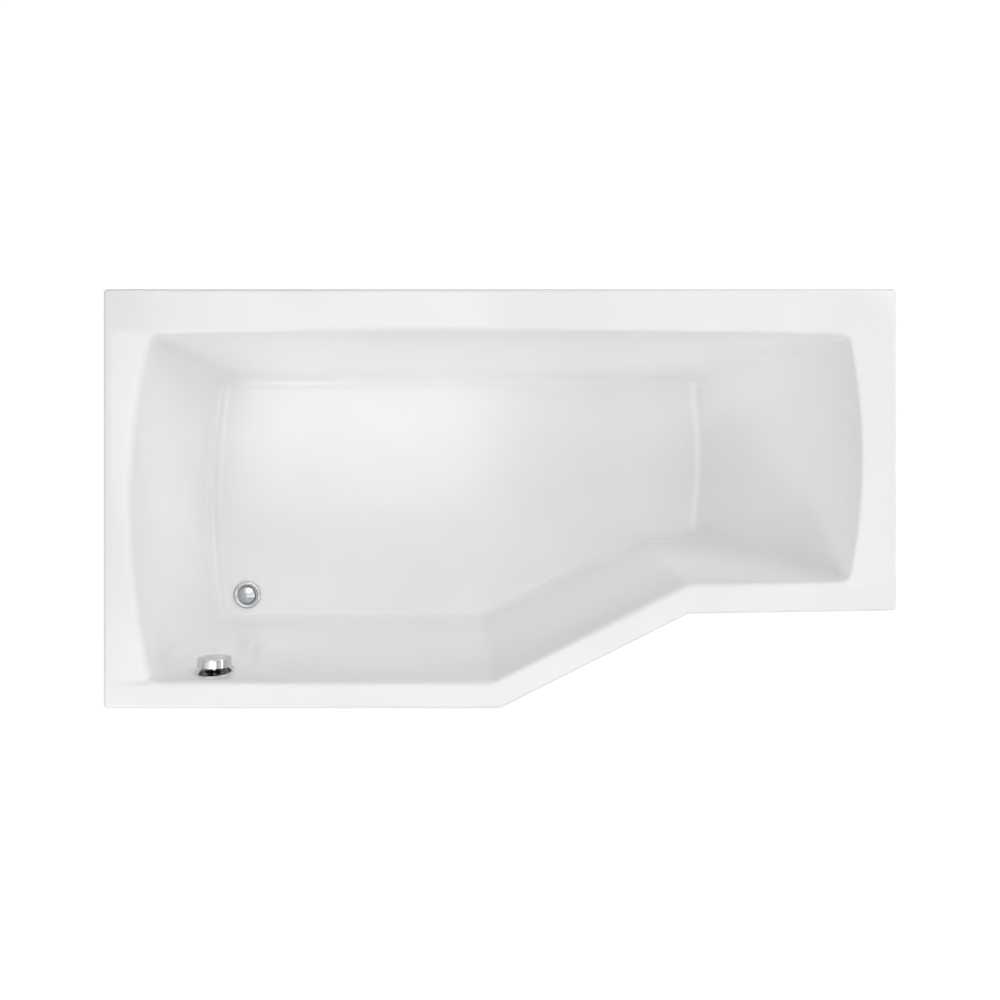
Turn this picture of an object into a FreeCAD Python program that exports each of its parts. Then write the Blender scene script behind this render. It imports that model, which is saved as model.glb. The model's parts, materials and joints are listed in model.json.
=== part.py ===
import FreeCAD, Part
import math
import os

from FreeCAD import Placement, Rotation, Vector

# Asymmetric acrylic bathtub with its leg set, lift-up waste, overflow and trap.
# Lengths are in millimetres, angles in degrees. +X runs along the tub towards the backrest,
# +Y towards the wall side, +Z up. The origin is on the ground under the middle of the tub.

# Outer outline of the rim, seen from above
tub_length = 1700.0
tub_width = 900.0
front_step = 210.0
narrow_flare = 7.0
narrow_front_length = 446.0
diagonal_run = 404.0
outer_corner_radius = 10.0
outer_knee_radius = 14.0
outer_waist_radius = 30.0

# Heights of the tub
floor_height = 160.0
basin_depth = 420.0
lip_height = 38.0

# Laminate of the tub
acrylic = 5.0
bond_gap = 0.3
glass_fibre = 2.7
backing_top_drop = 40.0

# Width of the rim at the corners of the basin
rim_front = 60.0
rim_diagonal = 60.0
rim_narrow_front = 64.0
rim_backrest = 101.0
rim_back = 98.0
rim_foot = 100.0

# Outward bow of the basin's edges, at the rim and at the floor
rim_bow_backrest = 26.0
rim_bow_back = 8.0
rim_bow_foot = 41.0
floor_bow_backrest = 20.0
floor_bow_foot = 22.0

# How far each wall leans in between rim and floor
lean_front = 72.0
lean_diagonal = 80.0
lean_narrow_front = 76.0
lean_backrest = 245.0
lean_back = 38.0
lean_foot = 26.0

# Radii of the basin
basin_corner_radius = 18.0
basin_knee_radius = 40.0
basin_waist_radius = 40.0
floor_corner_radius = 45.0
floor_knee_radius = 50.0
floor_waist_radius = 60.0
floor_edge_radius = 35.0
rim_edge_radius = 12.0
rim_outer_radius = 8.0
under_rim_radius = 6.0

# End rims fall towards the basin between the level rims of the long sides
end_fall = 6.0
end_fall_edge = 19.0
end_fall_back = 100.0
end_fall_front = 62.0
end_fall_step = 5.0

# Base board under the floor
board_thickness = 16.0
board_margin = 58.0
board_foot_margin = 254.0
board_corner_radius = 8.0

# Battens that stiffen the rim
batten_width = 30.0
batten_height = 18.0
batten_lip_gap = 4.0
batten_end_gap = 70.0
batten_edge_radius = 2.0

# Leg bars, folded steel channels across the tub
bar_width = 40.0
bar_height = 30.0
bar_gauge = 2.5
bar_bend_radius = 3.5
bar_end_overhang = 22.0
bar_end_bevel = 14.0
foot_bar_from_end = 450.0
backrest_bar_from_end = 560.0
foot_from_back = 95.0
foot_from_front = 88.0
foot_from_narrow_front = 28.0

# Wood screws of the leg bars
bar_screw_radius = 2.5
bar_screw_length = 14.0
bar_screw_head_radius = 5.0
bar_screw_head_height = 3.5
bar_screw_edge = 28.0
bar_screw_clearance = 0.5
pilot_clearance = 0.1

# Feet: threaded spindles in pads
spindle_radius = 5.0
spindle_above_board = 64.0
spindle_chamfer = 1.2
spindle_hole_clearance = 0.5
ball_radius = 8.0
ball_clearance = 0.2
neck_radius = 4.2
neck_length = 13.0
drive_flats = 14.0
drive_height = 9.0
pad_radius = 28.0
pad_top_radius = 14.0
pad_rim_height = 6.0
pad_height = 22.0
pad_mouth_radius = 6.2
pad_edge_radius = 1.5
foot_nut_flats = 17.0
foot_nut_height = 8.0
foot_nut_clearance = 0.1
nut_chamfer = 1.0

# Waste flange and plug
drain_from_foot_end = 196.0
drain_from_front = 202.0
drain_hole_radius = 26.0
flange_radius = 35.0
flange_edge_height = 1.6
flange_crown = 3.2
flange_gasket_radius = 33.0
flange_gasket_thickness = 1.2
flange_neck_radius = 25.0
flange_throat_radius = 22.0
flange_neck_depth = 22.0
spider_height = 4.0
spider_hub_radius = 6.0
spider_arm_width = 3.5
spider_arms = 3
plug_radius = 21.3
plug_rim_height = 3.0
plug_dome = 3.4
plug_skirt = 9.0
plug_wall = 2.2
plug_skirt_wall = 4.6
plug_boss_radius = 6.0
plug_boss_depth = 11.0
seal_section_radius = 1.6
seal_throat_clearance = 0.25
seal_drop = 2.6
stem_radius = 3.0
stem_tip_radius = 4.4
stem_tip_height = 5.0
stem_bore_clearance = 0.05
stem_seat_clearance = 0.1
plug_lift = 9.0
lift_stop_gap = 1.0

# Waste body under the floor
body_gasket_thickness = 3.0
body_gasket_radius = 38.0
body_flange_radius = 40.0
body_flange_thickness = 4.0
cup_radius = 31.0
cup_wall = 3.0
cup_depth = 39.0
cup_ribs = 8
cup_rib_width = 2.5
cup_rib_height = 22.0
neck_thread_clearance = 0.15
outlet_neck_length = 18.0
inlet_drop = 21.0
inlet_bend_radius = 32.0
inlet_spigot_length = 58.0
gland_root_radius = 6.5
gland_tip_radius = 4.0
gland_length = 18.0
gland_bore_radius = 1.6

# Lift lever inside the waste body
lever_reach = 22.0
lever_thickness = 4.0
lever_nose_radius = 2.6
lever_eye_radius = 4.4
lever_tail = 7.0
lever_tail_radius = 2.4
lever_tip_gap = 0.4
lever_side_gap = 0.4
lever_pin_radius = 2.0
lever_pin_clearance = 0.05
lug_thickness = 3.5
lug_radius = 5.0

# Overflow on the front wall
overflow_from_foot_end = 221.0
overflow_drop = 60.0
overflow_hole_radius = 24.0
plate_radius = 42.0
plate_thickness = 3.0
plate_edge_radius = 1.2
plate_neck_radius = 23.0
plate_neck_wall = 2.0
plate_neck_depth = 15.0
plate_spoke_width = 11.0
plate_hub_radius = 9.0
knob_radius = 36.8
knob_taper = 0.8
knob_depth = 20.0
knob_dome = 3.0
knob_wall = 2.6
knob_edge_radius = 3.0
knob_gap = 8.0
knob_hub_radius = 9.0
shaft_radius = 4.0
shaft_clearance = 0.05
shaft_knob_length = 18.0
shaft_tail = 2.0
drum_radius = 9.5
drum_thickness = 8.0
drum_groove_radius = 1.8
drum_setback = 9.0
overflow_seat_clearance = 0.1
overflow_gasket_thickness = 3.0
overflow_gasket_radius = 33.0
overflow_body_radius = 34.0
overflow_body_depth = 40.0
overflow_body_wall = 3.0
overflow_body_edge_radius = 4.0
overflow_spigot_length = 24.0
overflow_gland_x = -26.0
overflow_screw_spacing = 32.0
overflow_screw_radius = 2.4
overflow_screw_head_radius = 4.6
overflow_screw_head_height = 2.4
overflow_screw_engagement = 18.0
overflow_screw_clearance = 0.3
overflow_boss_radius = 5.0

# Pipes, nuts and trap
overflow_pipe_radius = 17.0
overflow_pipe_wall = 2.0
trap_pipe_radius = 20.0
trap_pipe_wall = 2.0
trap_bend_radius = 36.0
elbow_bend_radius = 24.0
outlet_run = 82.0
nut_clearance = 0.2
pipe_nut_wall = 5.0
pipe_nut_length = 20.0
trap_nut_wall = 6.5
trap_nut_length = 16.0
nut_bend_gap = 0.5
nut_grips = 12
nut_grip_radius = 2.2

# One overrun serves all cuts, one tolerance picks edges
overrun = 5.0
pick_tolerance = 0.001

# Places worked out from the sizes above
half_length = tub_length / 2
half_width = tub_width / 2
rim_height = floor_height + basin_depth
laminate = acrylic + bond_gap + glass_fibre
underside_height = floor_height - laminate
board_underside = underside_height - board_thickness
waist_x = half_length - narrow_front_length
knee_x = waist_x - diagonal_run
narrow_y = front_step - half_width
drain_x = drain_from_foot_end - half_length
drain_y = drain_from_front - half_width
overflow_x = overflow_from_foot_end - half_length
foot_bar_x = foot_bar_from_end - half_length
backrest_bar_x = half_length - backrest_bar_from_end
foot_y_back = half_width - foot_from_back
foot_y_front = foot_from_front - half_width
foot_y_narrow = narrow_y + foot_from_narrow_front
spindle_top = board_underside + spindle_above_board

# Edges run front, diagonal, narrow front, backrest end, back, foot end;
# each corner stands at the start of its edge.
outer_corners = [
    Vector(-half_length, -half_width, 0),
    Vector(knee_x, -half_width, 0),
    Vector(waist_x, narrow_y - narrow_flare, 0),
    Vector(half_length, narrow_y, 0),
    Vector(half_length, half_width, 0),
    Vector(-half_length, half_width, 0),
]
outer_radii = [
    outer_corner_radius,
    outer_knee_radius,
    outer_waist_radius,
    outer_corner_radius,
    outer_corner_radius,
    outer_corner_radius,
]
rim_widths = [rim_front, rim_diagonal, rim_narrow_front, rim_backrest, rim_back, rim_foot]
rim_bows = [0, 0, 0, rim_bow_backrest, rim_bow_back, rim_bow_foot]
rim_radii = [
    basin_corner_radius,
    basin_knee_radius,
    basin_waist_radius,
    basin_corner_radius,
    basin_corner_radius,
    basin_corner_radius,
]
leans = [lean_front, lean_diagonal, lean_narrow_front, lean_backrest, lean_back, lean_foot]
floor_bows = [0, 0, 0, floor_bow_backrest, 0, floor_bow_foot]
floor_radii = [
    floor_corner_radius,
    floor_knee_radius,
    floor_waist_radius,
    floor_corner_radius,
    floor_corner_radius,
    floor_corner_radius,
]


# Plane geometry

def left_of(direction):
    return Vector(-direction.y, direction.x, 0)


def turned_by(direction, angle):
    cosine = math.cos(angle)
    sine = math.sin(angle)
    return Vector(direction.x * cosine - direction.y * sine, direction.x * sine + direction.y * cosine, 0)


def cross(first, second):
    return first.x * second.y - first.y * second.x


def inset(corners, distances):
    """Move each edge of a closed outline inwards by its own distance and return the new corners."""
    lines = []
    for index, corner in enumerate(corners):
        direction = (corners[(index + 1) % len(corners)] - corner).normalize()
        lines.append((corner + left_of(direction) * distances[index], direction))
    moved = []
    for index in range(len(corners)):
        start, direction = lines[index - 1]
        other, other_direction = lines[index]
        along = cross(other - start, other_direction) / cross(direction, other_direction)
        moved.append(start + direction * along)
    return moved


def grown_radii(corners, radii, growth):
    """Corner radii of an outline moved outwards: larger on outward corners, smaller on the waist."""
    grown = []
    for index, radius in enumerate(radii):
        before = corners[index] - corners[index - 1]
        after = corners[(index + 1) % len(corners)] - corners[index]
        grown.append(radius + math.copysign(growth, cross(before, after)))
    return grown


def outline(corners, radii=None, bows=None, height=0):
    """Closed wire at a height, with rounded corners and edges that bow outwards."""
    count = len(corners)
    radii = radii or [0] * count
    bows = bows or [0] * count
    lift = Vector(0, 0, height)
    starts = []
    ends = []
    for index, corner in enumerate(corners):
        chord = corners[(index + 1) % count] - corner
        angle = math.atan(4 * bows[index] / chord.Length)
        direction = chord.normalize()
        starts.append(turned_by(direction, -angle))
        ends.append(turned_by(direction, angle))
    arrivals = []
    departures = []
    arcs = []
    for index, corner in enumerate(corners):
        arriving = ends[index - 1]
        leaving = starts[index]
        turn = math.atan2(cross(arriving, leaving), arriving.dot(leaving))
        reach = radii[index] * math.tan(abs(turn) / 2)
        arrival = corner - arriving * reach
        departure = corner + leaving * reach
        arrivals.append(arrival + lift)
        departures.append(departure + lift)
        if reach:
            centre = arrival + left_of(arriving) * math.copysign(radii[index], turn)
            middle = centre + (corner - centre).normalize() * radii[index]
            arcs.append(Part.Arc(arrival + lift, middle + lift, departure + lift).toShape())
        else:
            arcs.append(None)
    edges = []
    for index in range(count):
        if arcs[index]:
            edges.append(arcs[index])
        start = departures[index]
        end = arrivals[(index + 1) % count]
        if (end - start).Length < pick_tolerance:
            continue
        if bows[index]:
            handle = (end - start).Length / 3 / starts[index].dot((end - start).normalize())
            curve = Part.BezierCurve()
            curve.setPoles([start, start + starts[index] * handle, end - ends[index] * handle, end])
            edges.append(curve.toShape())
        else:
            edges.append(Part.LineSegment(start, end).toShape())
    return Part.Wire(edges)


# Solid helpers

def prism(corners, radii, bottom, height):
    return Part.Face(outline(corners, radii, None, bottom)).extrude(Vector(0, 0, height))


def turned(profile, radii=None):
    """Solid of revolution about Z from a closed (radius, height) profile, listed anticlockwise."""
    corners = [Vector(radius, height, 0) for radius, height in profile]
    face = Part.Face(outline(corners, radii))
    face.Placement = Placement(Vector(), Rotation(Vector(1, 0, 0), 90))
    return face.revolve(Vector(), Vector(0, 0, 1), 360)


def rod(radius, bottom, top, x=0, y=0):
    return Part.makeCylinder(radius, top - bottom, Vector(x, y, bottom))


def ring(inner, outer, bottom, top):
    return rod(outer, bottom, top).cut(rod(inner, bottom - overrun, top + overrun))


def block(x_low, x_high, y_low, y_high, z_low, z_high):
    return Part.makeBox(x_high - x_low, y_high - y_low, z_high - z_low, Vector(x_low, y_low, z_low))


def hexagon(flats, bottom, height):
    corner = flats / math.sqrt(3)
    points = [Vector(corner * math.cos(turn * math.pi / 3), corner * math.sin(turn * math.pi / 3), 0)
              for turn in range(6)]
    return prism(points, None, bottom, height)


def at(shape, x=0, y=0, z=0):
    moved = shape.copy()
    moved.translate(Vector(x, y, z))
    return moved


def around(shape, count):
    """Copies of a shape in equal turns about Z."""
    copies = []
    for index in range(count):
        copy = shape.copy()
        copy.rotate(Vector(), Vector(0, 0, 1), 360 * index / count)
        copies.append(copy)
    return copies


def flat_edges(shape, height):
    """Edges that lie whole at one height."""
    return [edge for edge in shape.Edges
            if abs(edge.BoundBox.ZMin - height) < pick_tolerance
            and abs(edge.BoundBox.ZMax - height) < pick_tolerance]


def edges_on(shape, wire):
    """Edges of a shape whose middle lies on a wire."""
    picked = []
    for edge in flat_edges(shape, wire.BoundBox.ZMin):
        middle = edge.valueAt((edge.FirstParameter + edge.LastParameter) / 2)
        if wire.distToShape(Part.Vertex(middle))[0] < pick_tolerance:
            picked.append(edge)
    return picked


def pipe(points, bend_radius, radius):
    """Round bar along straight runs joined by tangent arcs of one radius."""
    edges = []
    start = points[0]
    for before, corner, after in zip(points, points[1:], points[2:]):
        arriving = (corner - before).normalize()
        leaving = (after - corner).normalize()
        turn = arriving.getAngle(leaving)
        reach = bend_radius * math.tan(turn / 2)
        bend_start = corner - arriving * reach
        bend_end = corner + leaving * reach
        inwards = (leaving - arriving).normalize()
        centre = corner + inwards * (bend_radius / math.cos(turn / 2))
        if (bend_start - start).Length > pick_tolerance:
            edges.append(Part.LineSegment(start, bend_start).toShape())
        edges.append(Part.Arc(bend_start, centre - inwards * bend_radius, bend_end).toShape())
        start = bend_end
    if (points[-1] - start).Length > pick_tolerance:
        edges.append(Part.LineSegment(start, points[-1]).toShape())
    path = Part.Wire(edges)
    first = (points[1] - points[0]).normalize()
    section = Part.Face(Part.Wire(Part.makeCircle(radius, points[0], first)))
    return path.makePipe(section)


def union_nut(bore, wall, length):
    """Round plastic nut about Z with grip ribs, standing half above and half below its joint."""
    outer = bore + wall - nut_grip_radius
    body = ring(bore, outer, -length / 2, length / 2)
    grip = rod(nut_grip_radius, nut_chamfer - length / 2, length / 2 - nut_chamfer, outer, 0)
    return body.fuse(around(grip, nut_grips)).removeSplitter()


# Tub

def basin(growth):
    """Inside of the basin as a solid, moved outwards all over by a growth."""
    rim = inset(outer_corners, [width - growth for width in rim_widths])
    floor = inset(inset(outer_corners, rim_widths), [lean - growth for lean in leans])
    bottom = floor_height - growth
    top_wire = outline(rim, grown_radii(rim, rim_radii, growth), rim_bows, rim_height)
    floor_wire = outline(floor, grown_radii(floor, floor_radii, growth), floor_bows, bottom)
    solid = Part.makeLoft([top_wire, floor_wire], True, True)
    return solid.makeFillet(floor_edge_radius + growth, flat_edges(solid, bottom))


def drain_hole():
    return at(rod(drain_hole_radius, underside_height - overrun, floor_height + overrun), drain_x, drain_y)


def overflow_hole():
    return on_wall(rod(overflow_hole_radius, -laminate - overrun, overrun))


def tub_shell():
    lip_bottom = rim_height - lip_height
    deck = prism(outer_corners, outer_radii, lip_bottom, lip_height)
    deck = deck.makeFillet(rim_outer_radius, flat_edges(deck, rim_height))
    under = inset(outer_corners, [acrylic] * len(outer_corners))
    under_radii = grown_radii(outer_corners, outer_radii, -acrylic)
    deck = deck.cut(prism(under, under_radii, lip_bottom - overrun, lip_height - acrylic + overrun))
    body = deck.fuse(basin(acrylic)).removeSplitter()
    body = body.makeFillet(under_rim_radius, under_rim_edges(body))
    shell = body.fuse(end_falls(acrylic, rim_height - acrylic / 2)).cut(basin(0)).removeSplitter()
    rim = inset(outer_corners, rim_widths)
    shell = shell.makeFillet(rim_edge_radius, edges_on(shell, outline(rim, rim_radii, rim_bows, rim_height)))
    return shell.cut(end_falls(0, rim_height + overrun) + [drain_hole(), overflow_hole()])


def under_rim_edges(shell):
    """Edges where the walls of the basin meet the underside of the rim."""
    height = rim_height - acrylic
    lip = inset(outer_corners, [acrylic] * len(outer_corners))
    lip_wire = outline(lip, grown_radii(outer_corners, outer_radii, -acrylic), None, height)
    on_lip = edges_on(shell, lip_wire)
    return [edge for edge in flat_edges(shell, height) if not any(edge.isSame(other) for other in on_lip)]


def end_fall_reach(width):
    """Distance from the outer edge to where an end rim's slope ends, past the rolled edge."""
    return width + rim_edge_radius


def end_falls(depth, cap):
    """Wedges above the sloping end rims up to a cap, or, at a depth, of the sheet under them."""
    half_step = end_fall_step / 2
    top = rim_height - depth
    low = top - end_fall
    back = half_width - end_fall_back + depth
    ends = [(-1, rim_foot, end_fall_front - half_width), (1, rim_backrest, narrow_y + end_fall_front)]
    wedges = []
    for side, width, front_line in ends:
        start = side * (half_length - end_fall_edge)
        reach = side * (half_length - end_fall_reach(width))
        front = front_line - depth
        slope = [(start, top), (reach, low), (reach, cap), (start, cap)]
        trough = [(front - half_step, top), (front + half_step, low), (back - half_step, low),
                  (back + half_step, top), (back + half_step, cap), (front - half_step, cap)]
        along = [Vector(x, front - half_step, z) for x, z in slope]
        across = [Vector(start, y, z) for y, z in trough]
        slab = Part.Face(Part.makePolygon(along + along[:1])).extrude(Vector(0, back - front + end_fall_step, 0))
        channel = Part.Face(Part.makePolygon(across + across[:1])).extrude(Vector(reach - start, 0, 0))
        wedges.append(slab.common(channel))
    return wedges


def glass_fibre_backing():
    top = rim_height - backing_top_drop
    skin = basin(laminate).cut(basin(acrylic + bond_gap))
    above = block(-tub_length, tub_length, -tub_width, tub_width, top, rim_height + overrun)
    return skin.cut([above, drain_hole(), overflow_hole()])


def base_board():
    floor = inset(inset(outer_corners, rim_widths), leans)
    margins = [board_margin] * (len(floor) - 1) + [board_foot_margin]
    corners = inset(floor, margins)
    board = prism(corners, [board_corner_radius] * len(corners), board_underside, board_thickness)
    pilots = [rod(bar_screw_radius + pilot_clearance, board_underside - overrun,
                  board_underside - bar_gauge + bar_screw_length + pilot_clearance, x, y)
              for x, y in bar_screw_places()]
    return board.cut(pilots)


def rim_battens():
    top = rim_height - acrylic
    offset = acrylic + batten_lip_gap
    inner = offset + batten_width
    x_foot = -half_length
    x_backrest = half_length
    foot_drop = end_fall * (inner - end_fall_edge) / (end_fall_reach(rim_foot) - end_fall_edge)
    backrest_drop = end_fall * (inner - end_fall_edge) / (end_fall_reach(rim_backrest) - end_fall_edge)
    places = {
        "rim_batten_back": (x_foot + batten_end_gap, x_backrest - batten_end_gap,
                            half_width - inner, half_width - offset, top),
        "rim_batten_front": (x_foot + batten_end_gap, knee_x - batten_end_gap,
                             -half_width + offset, -half_width + inner, top),
        "rim_batten_foot_end": (x_foot + offset, x_foot + inner,
                                -half_width + batten_end_gap, half_width - batten_end_gap,
                                top - max(foot_drop, 0)),
        "rim_batten_backrest_end": (x_backrest - inner, x_backrest - offset,
                                    narrow_y + batten_end_gap, half_width - batten_end_gap,
                                    top - max(backrest_drop, 0)),
    }
    battens = {}
    for name, (x_low, x_high, y_low, y_high, high) in places.items():
        batten = block(x_low, x_high, y_low, y_high, high - batten_height, high)
        battens[name] = batten.makeFillet(batten_edge_radius, flat_edges(batten, high - batten_height))
    return battens


# Leg set

def bar_feet():
    """Each leg bar's place along the tub with its two foot places across it."""
    return {
        "leg_bar_foot_end": (foot_bar_x, foot_y_front, foot_y_back),
        "leg_bar_backrest_end": (backrest_bar_x, foot_y_narrow, foot_y_back),
    }


def foot_places():
    places = []
    for x, front, back in bar_feet().values():
        places += [(x, front), (x, back)]
    return places


def board_span(x):
    """Lowest and highest Y of the base board along one bar."""
    floor = inset(inset(outer_corners, rim_widths), leans)
    corners = inset(floor, [board_margin] * (len(floor) - 1) + [board_foot_margin])
    crossings = []
    for index, corner in enumerate(corners):
        after = corners[(index + 1) % len(corners)]
        if (corner.x - x) * (after.x - x) < 0:
            crossings.append(corner.y + (after.y - corner.y) * (x - corner.x) / (after.x - corner.x))
    return min(crossings), max(crossings)


def bar_screw_places():
    places = []
    for x, front, back in bar_feet().values():
        low, high = board_span(x)
        low += bar_screw_edge
        high -= bar_screw_edge
        places += [(x, low), (x, (low + high) / 2), (x, high)]
    return places


def leg_bar(x, front, back):
    low = front - bar_end_overhang
    length = back + bar_end_overhang - low
    half = bar_width / 2
    channel = block(-half, half, 0, length, -bar_height, 0)
    ridges = [edge for edge in flat_edges(channel, 0) if edge.BoundBox.YLength > bar_width]
    channel = channel.makeFillet(bar_bend_radius, ridges)
    inside = block(bar_gauge - half, half - bar_gauge, -overrun, length + overrun,
                   -bar_height - overrun, -bar_gauge)
    hollow_ridges = [edge for edge in flat_edges(inside, -bar_gauge) if edge.BoundBox.YLength > bar_width]
    inside = inside.makeFillet(bar_bend_radius - bar_gauge, hollow_ridges)
    channel = channel.cut(inside)
    bevels = []
    for end in (0, length):
        inward = bar_end_bevel if end == 0 else length - bar_end_bevel
        wedge = Part.Face(Part.makePolygon([
            Vector(-bar_width, end, -bar_height - overrun),
            Vector(-bar_width, inward, -bar_height - overrun),
            Vector(-bar_width, end, -bar_height + bar_end_bevel),
            Vector(-bar_width, end, -bar_height - overrun),
        ]))
        bevels.append(wedge.extrude(Vector(2 * bar_width, 0, 0)))
    holes = [rod(spindle_radius + spindle_hole_clearance, -bar_height, overrun, 0, y - low)
             for y in (front, back)]
    holes += [rod(bar_screw_radius + bar_screw_clearance, -bar_height, overrun, 0, y - low)
              for place, y in bar_screw_places() if place == x]
    return at(channel.cut(bevels + holes), x, low, board_underside)


def bar_screws():
    web = board_underside - bar_gauge
    screws = []
    for x, y in bar_screw_places():
        head = turned([
            (0, web - bar_screw_head_height),
            (bar_screw_head_radius, web - bar_screw_head_height),
            (bar_screw_head_radius, web),
            (0, web),
        ], [0, bar_screw_head_height / 2, 0, 0])
        shank = rod(bar_screw_radius, web, web + bar_screw_length)
        screws.append(at(head.fuse(shank).removeSplitter(), x, y))
    return Part.Compound(screws)


def hex_nut(flats, height, bore, bottom):
    nut = hexagon(flats, bottom, height)
    corner = flats / math.sqrt(3)
    rounded = turned([(0, bottom), (corner, bottom), (corner, bottom + height), (0, bottom + height)])
    rounded = rounded.makeChamfer(nut_chamfer, flat_edges(rounded, bottom) + flat_edges(rounded, bottom + height))
    return nut.common(rounded).cut(rod(bore, bottom - overrun, bottom + height + overrun))


def foot_nuts():
    bore = spindle_radius + foot_nut_clearance
    above = hex_nut(foot_nut_flats, foot_nut_height, bore, board_underside)
    below = hex_nut(foot_nut_flats, foot_nut_height, bore, board_underside - bar_gauge - foot_nut_height)
    return Part.Compound([at(nut, x, y) for x, y in foot_places() for nut in (above, below)])


def ball_height():
    return pad_edge_radius + ball_radius + ball_clearance + pad_rim_height / 2


def foot_pad():
    pad = turned([
        (0, 0),
        (pad_radius, 0),
        (pad_radius, pad_rim_height),
        (pad_top_radius, pad_height),
        (0, pad_height),
    ], [0, pad_edge_radius, pad_edge_radius, pad_edge_radius, 0])
    socket = Part.makeSphere(ball_radius + ball_clearance, Vector(0, 0, ball_height()))
    mouth = rod(pad_mouth_radius, ball_height(), pad_height + overrun)
    return pad.cut([socket, mouth])


def foot_spindle():
    centre = ball_height()
    ball = Part.makeSphere(ball_radius, Vector(0, 0, centre))
    drive_bottom = centre + neck_length
    drive = hexagon(drive_flats, drive_bottom, drive_height)
    neck = rod(neck_radius, centre, drive_bottom)
    thread = rod(spindle_radius, drive_bottom, spindle_top)
    thread = thread.makeChamfer(spindle_chamfer, flat_edges(thread, spindle_top))
    return ball.fuse([neck, drive, thread]).removeSplitter()


# Waste

def flange_bottom():
    return floor_height + flange_gasket_thickness


def drain_flange():
    seat = flange_bottom()
    neck_end = floor_height - flange_neck_depth
    ring_part = turned([
        (flange_throat_radius, neck_end),
        (flange_neck_radius, neck_end),
        (flange_neck_radius, seat),
        (flange_radius, seat),
        (flange_radius, seat + flange_edge_height),
        ((flange_radius + flange_neck_radius) / 2, seat + flange_crown),
        (flange_throat_radius, seat),
    ], [0, 0, 0, 0, flange_edge_height / 2, flange_radius - flange_neck_radius, flange_edge_height])
    hub = rod(spider_hub_radius, neck_end, neck_end + spider_height)
    half = spider_arm_width / 2
    arm = block(0, flange_throat_radius + pick_tolerance, -half, half, neck_end, neck_end + spider_height)
    bore = rod(stem_radius + stem_bore_clearance, neck_end - overrun, neck_end + spider_height + overrun)
    return at(ring_part.fuse([hub] + around(arm, spider_arms)).cut(bore), drain_x, drain_y)


def drain_flange_gasket():
    return at(ring(drain_hole_radius, flange_gasket_radius, floor_height, flange_bottom()), drain_x, drain_y)


def plug_rim():
    return flange_bottom() + plug_rim_height


def drain_plug():
    rim = plug_rim()
    skirt = rim - plug_skirt
    roof = rim - plug_wall
    dome_radius = (plug_radius ** 2 + plug_dome ** 2) / (2 * plug_dome)
    body = rod(plug_radius, skirt, rim).cut(rod(plug_radius - plug_skirt_wall, skirt - overrun, roof))
    cap = Part.makeSphere(dome_radius, Vector(0, 0, rim + plug_dome - dome_radius))
    cap = cap.common(rod(plug_radius, rim, rim + plug_dome + overrun))
    boss = rod(plug_boss_radius, roof + plug_wall - plug_boss_depth, roof)
    groove = Part.makeTorus(seal_ring_radius(), seal_section_radius + pilot_clearance,
                            Vector(0, 0, rim - plug_wall - seal_drop))
    thread = rod(stem_radius + stem_seat_clearance, skirt - overrun, roof)
    return at(body.fuse([cap, boss]).removeSplitter().cut([groove, thread]), drain_x, drain_y)


def seal_ring_radius():
    return flange_throat_radius - seal_throat_clearance - seal_section_radius


def plug_seal():
    height = plug_rim() - plug_wall - seal_drop
    return at(Part.makeTorus(seal_ring_radius(), seal_section_radius), drain_x, drain_y, height)


def stem_bottom():
    """The stem's tip rests below the spider by the plug's lift and a last gap."""
    return floor_height - flange_neck_depth - plug_lift - lift_stop_gap - stem_tip_height


def plug_stem():
    top = plug_rim() - plug_wall
    tip = turned([
        (0, stem_bottom()),
        (stem_tip_radius, stem_bottom()),
        (stem_tip_radius, stem_bottom() + stem_tip_height),
        (0, stem_bottom() + stem_tip_height),
    ], [0, stem_tip_height / 4, stem_tip_height / 4, 0])
    return at(rod(stem_radius, stem_bottom(), top).fuse(tip).removeSplitter(), drain_x, drain_y)


def drain_body_gasket():
    top = underside_height
    return at(ring(drain_hole_radius, body_gasket_radius, top - body_gasket_thickness, top), drain_x, drain_y)


def body_top():
    return underside_height - body_gasket_thickness


def cup_bottom():
    return body_top() - cup_depth


def inlet_height():
    return body_top() - inlet_drop


def outlet_neck_end():
    return cup_bottom() - outlet_neck_length


def pipe_axis_point(height):
    """Point of the overflow pipe's axis at a height."""
    start = wall_point(0, 0, pipe_setback())
    slope = wall_point(0, 1, pipe_setback()) - start
    return start + slope * ((height - start.z) / slope.z)


def inlet_path(from_cup_centre):
    corner = pipe_axis_point(inlet_height())
    centre = Vector(drain_x, drain_y, inlet_height())
    outwards = (corner - centre).normalize()
    start = centre + outwards * from_cup_centre
    upwards = (wall_point(0, 0, pipe_setback()) - corner).normalize()
    return [start, corner, corner + upwards * inlet_spigot_length]


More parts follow.
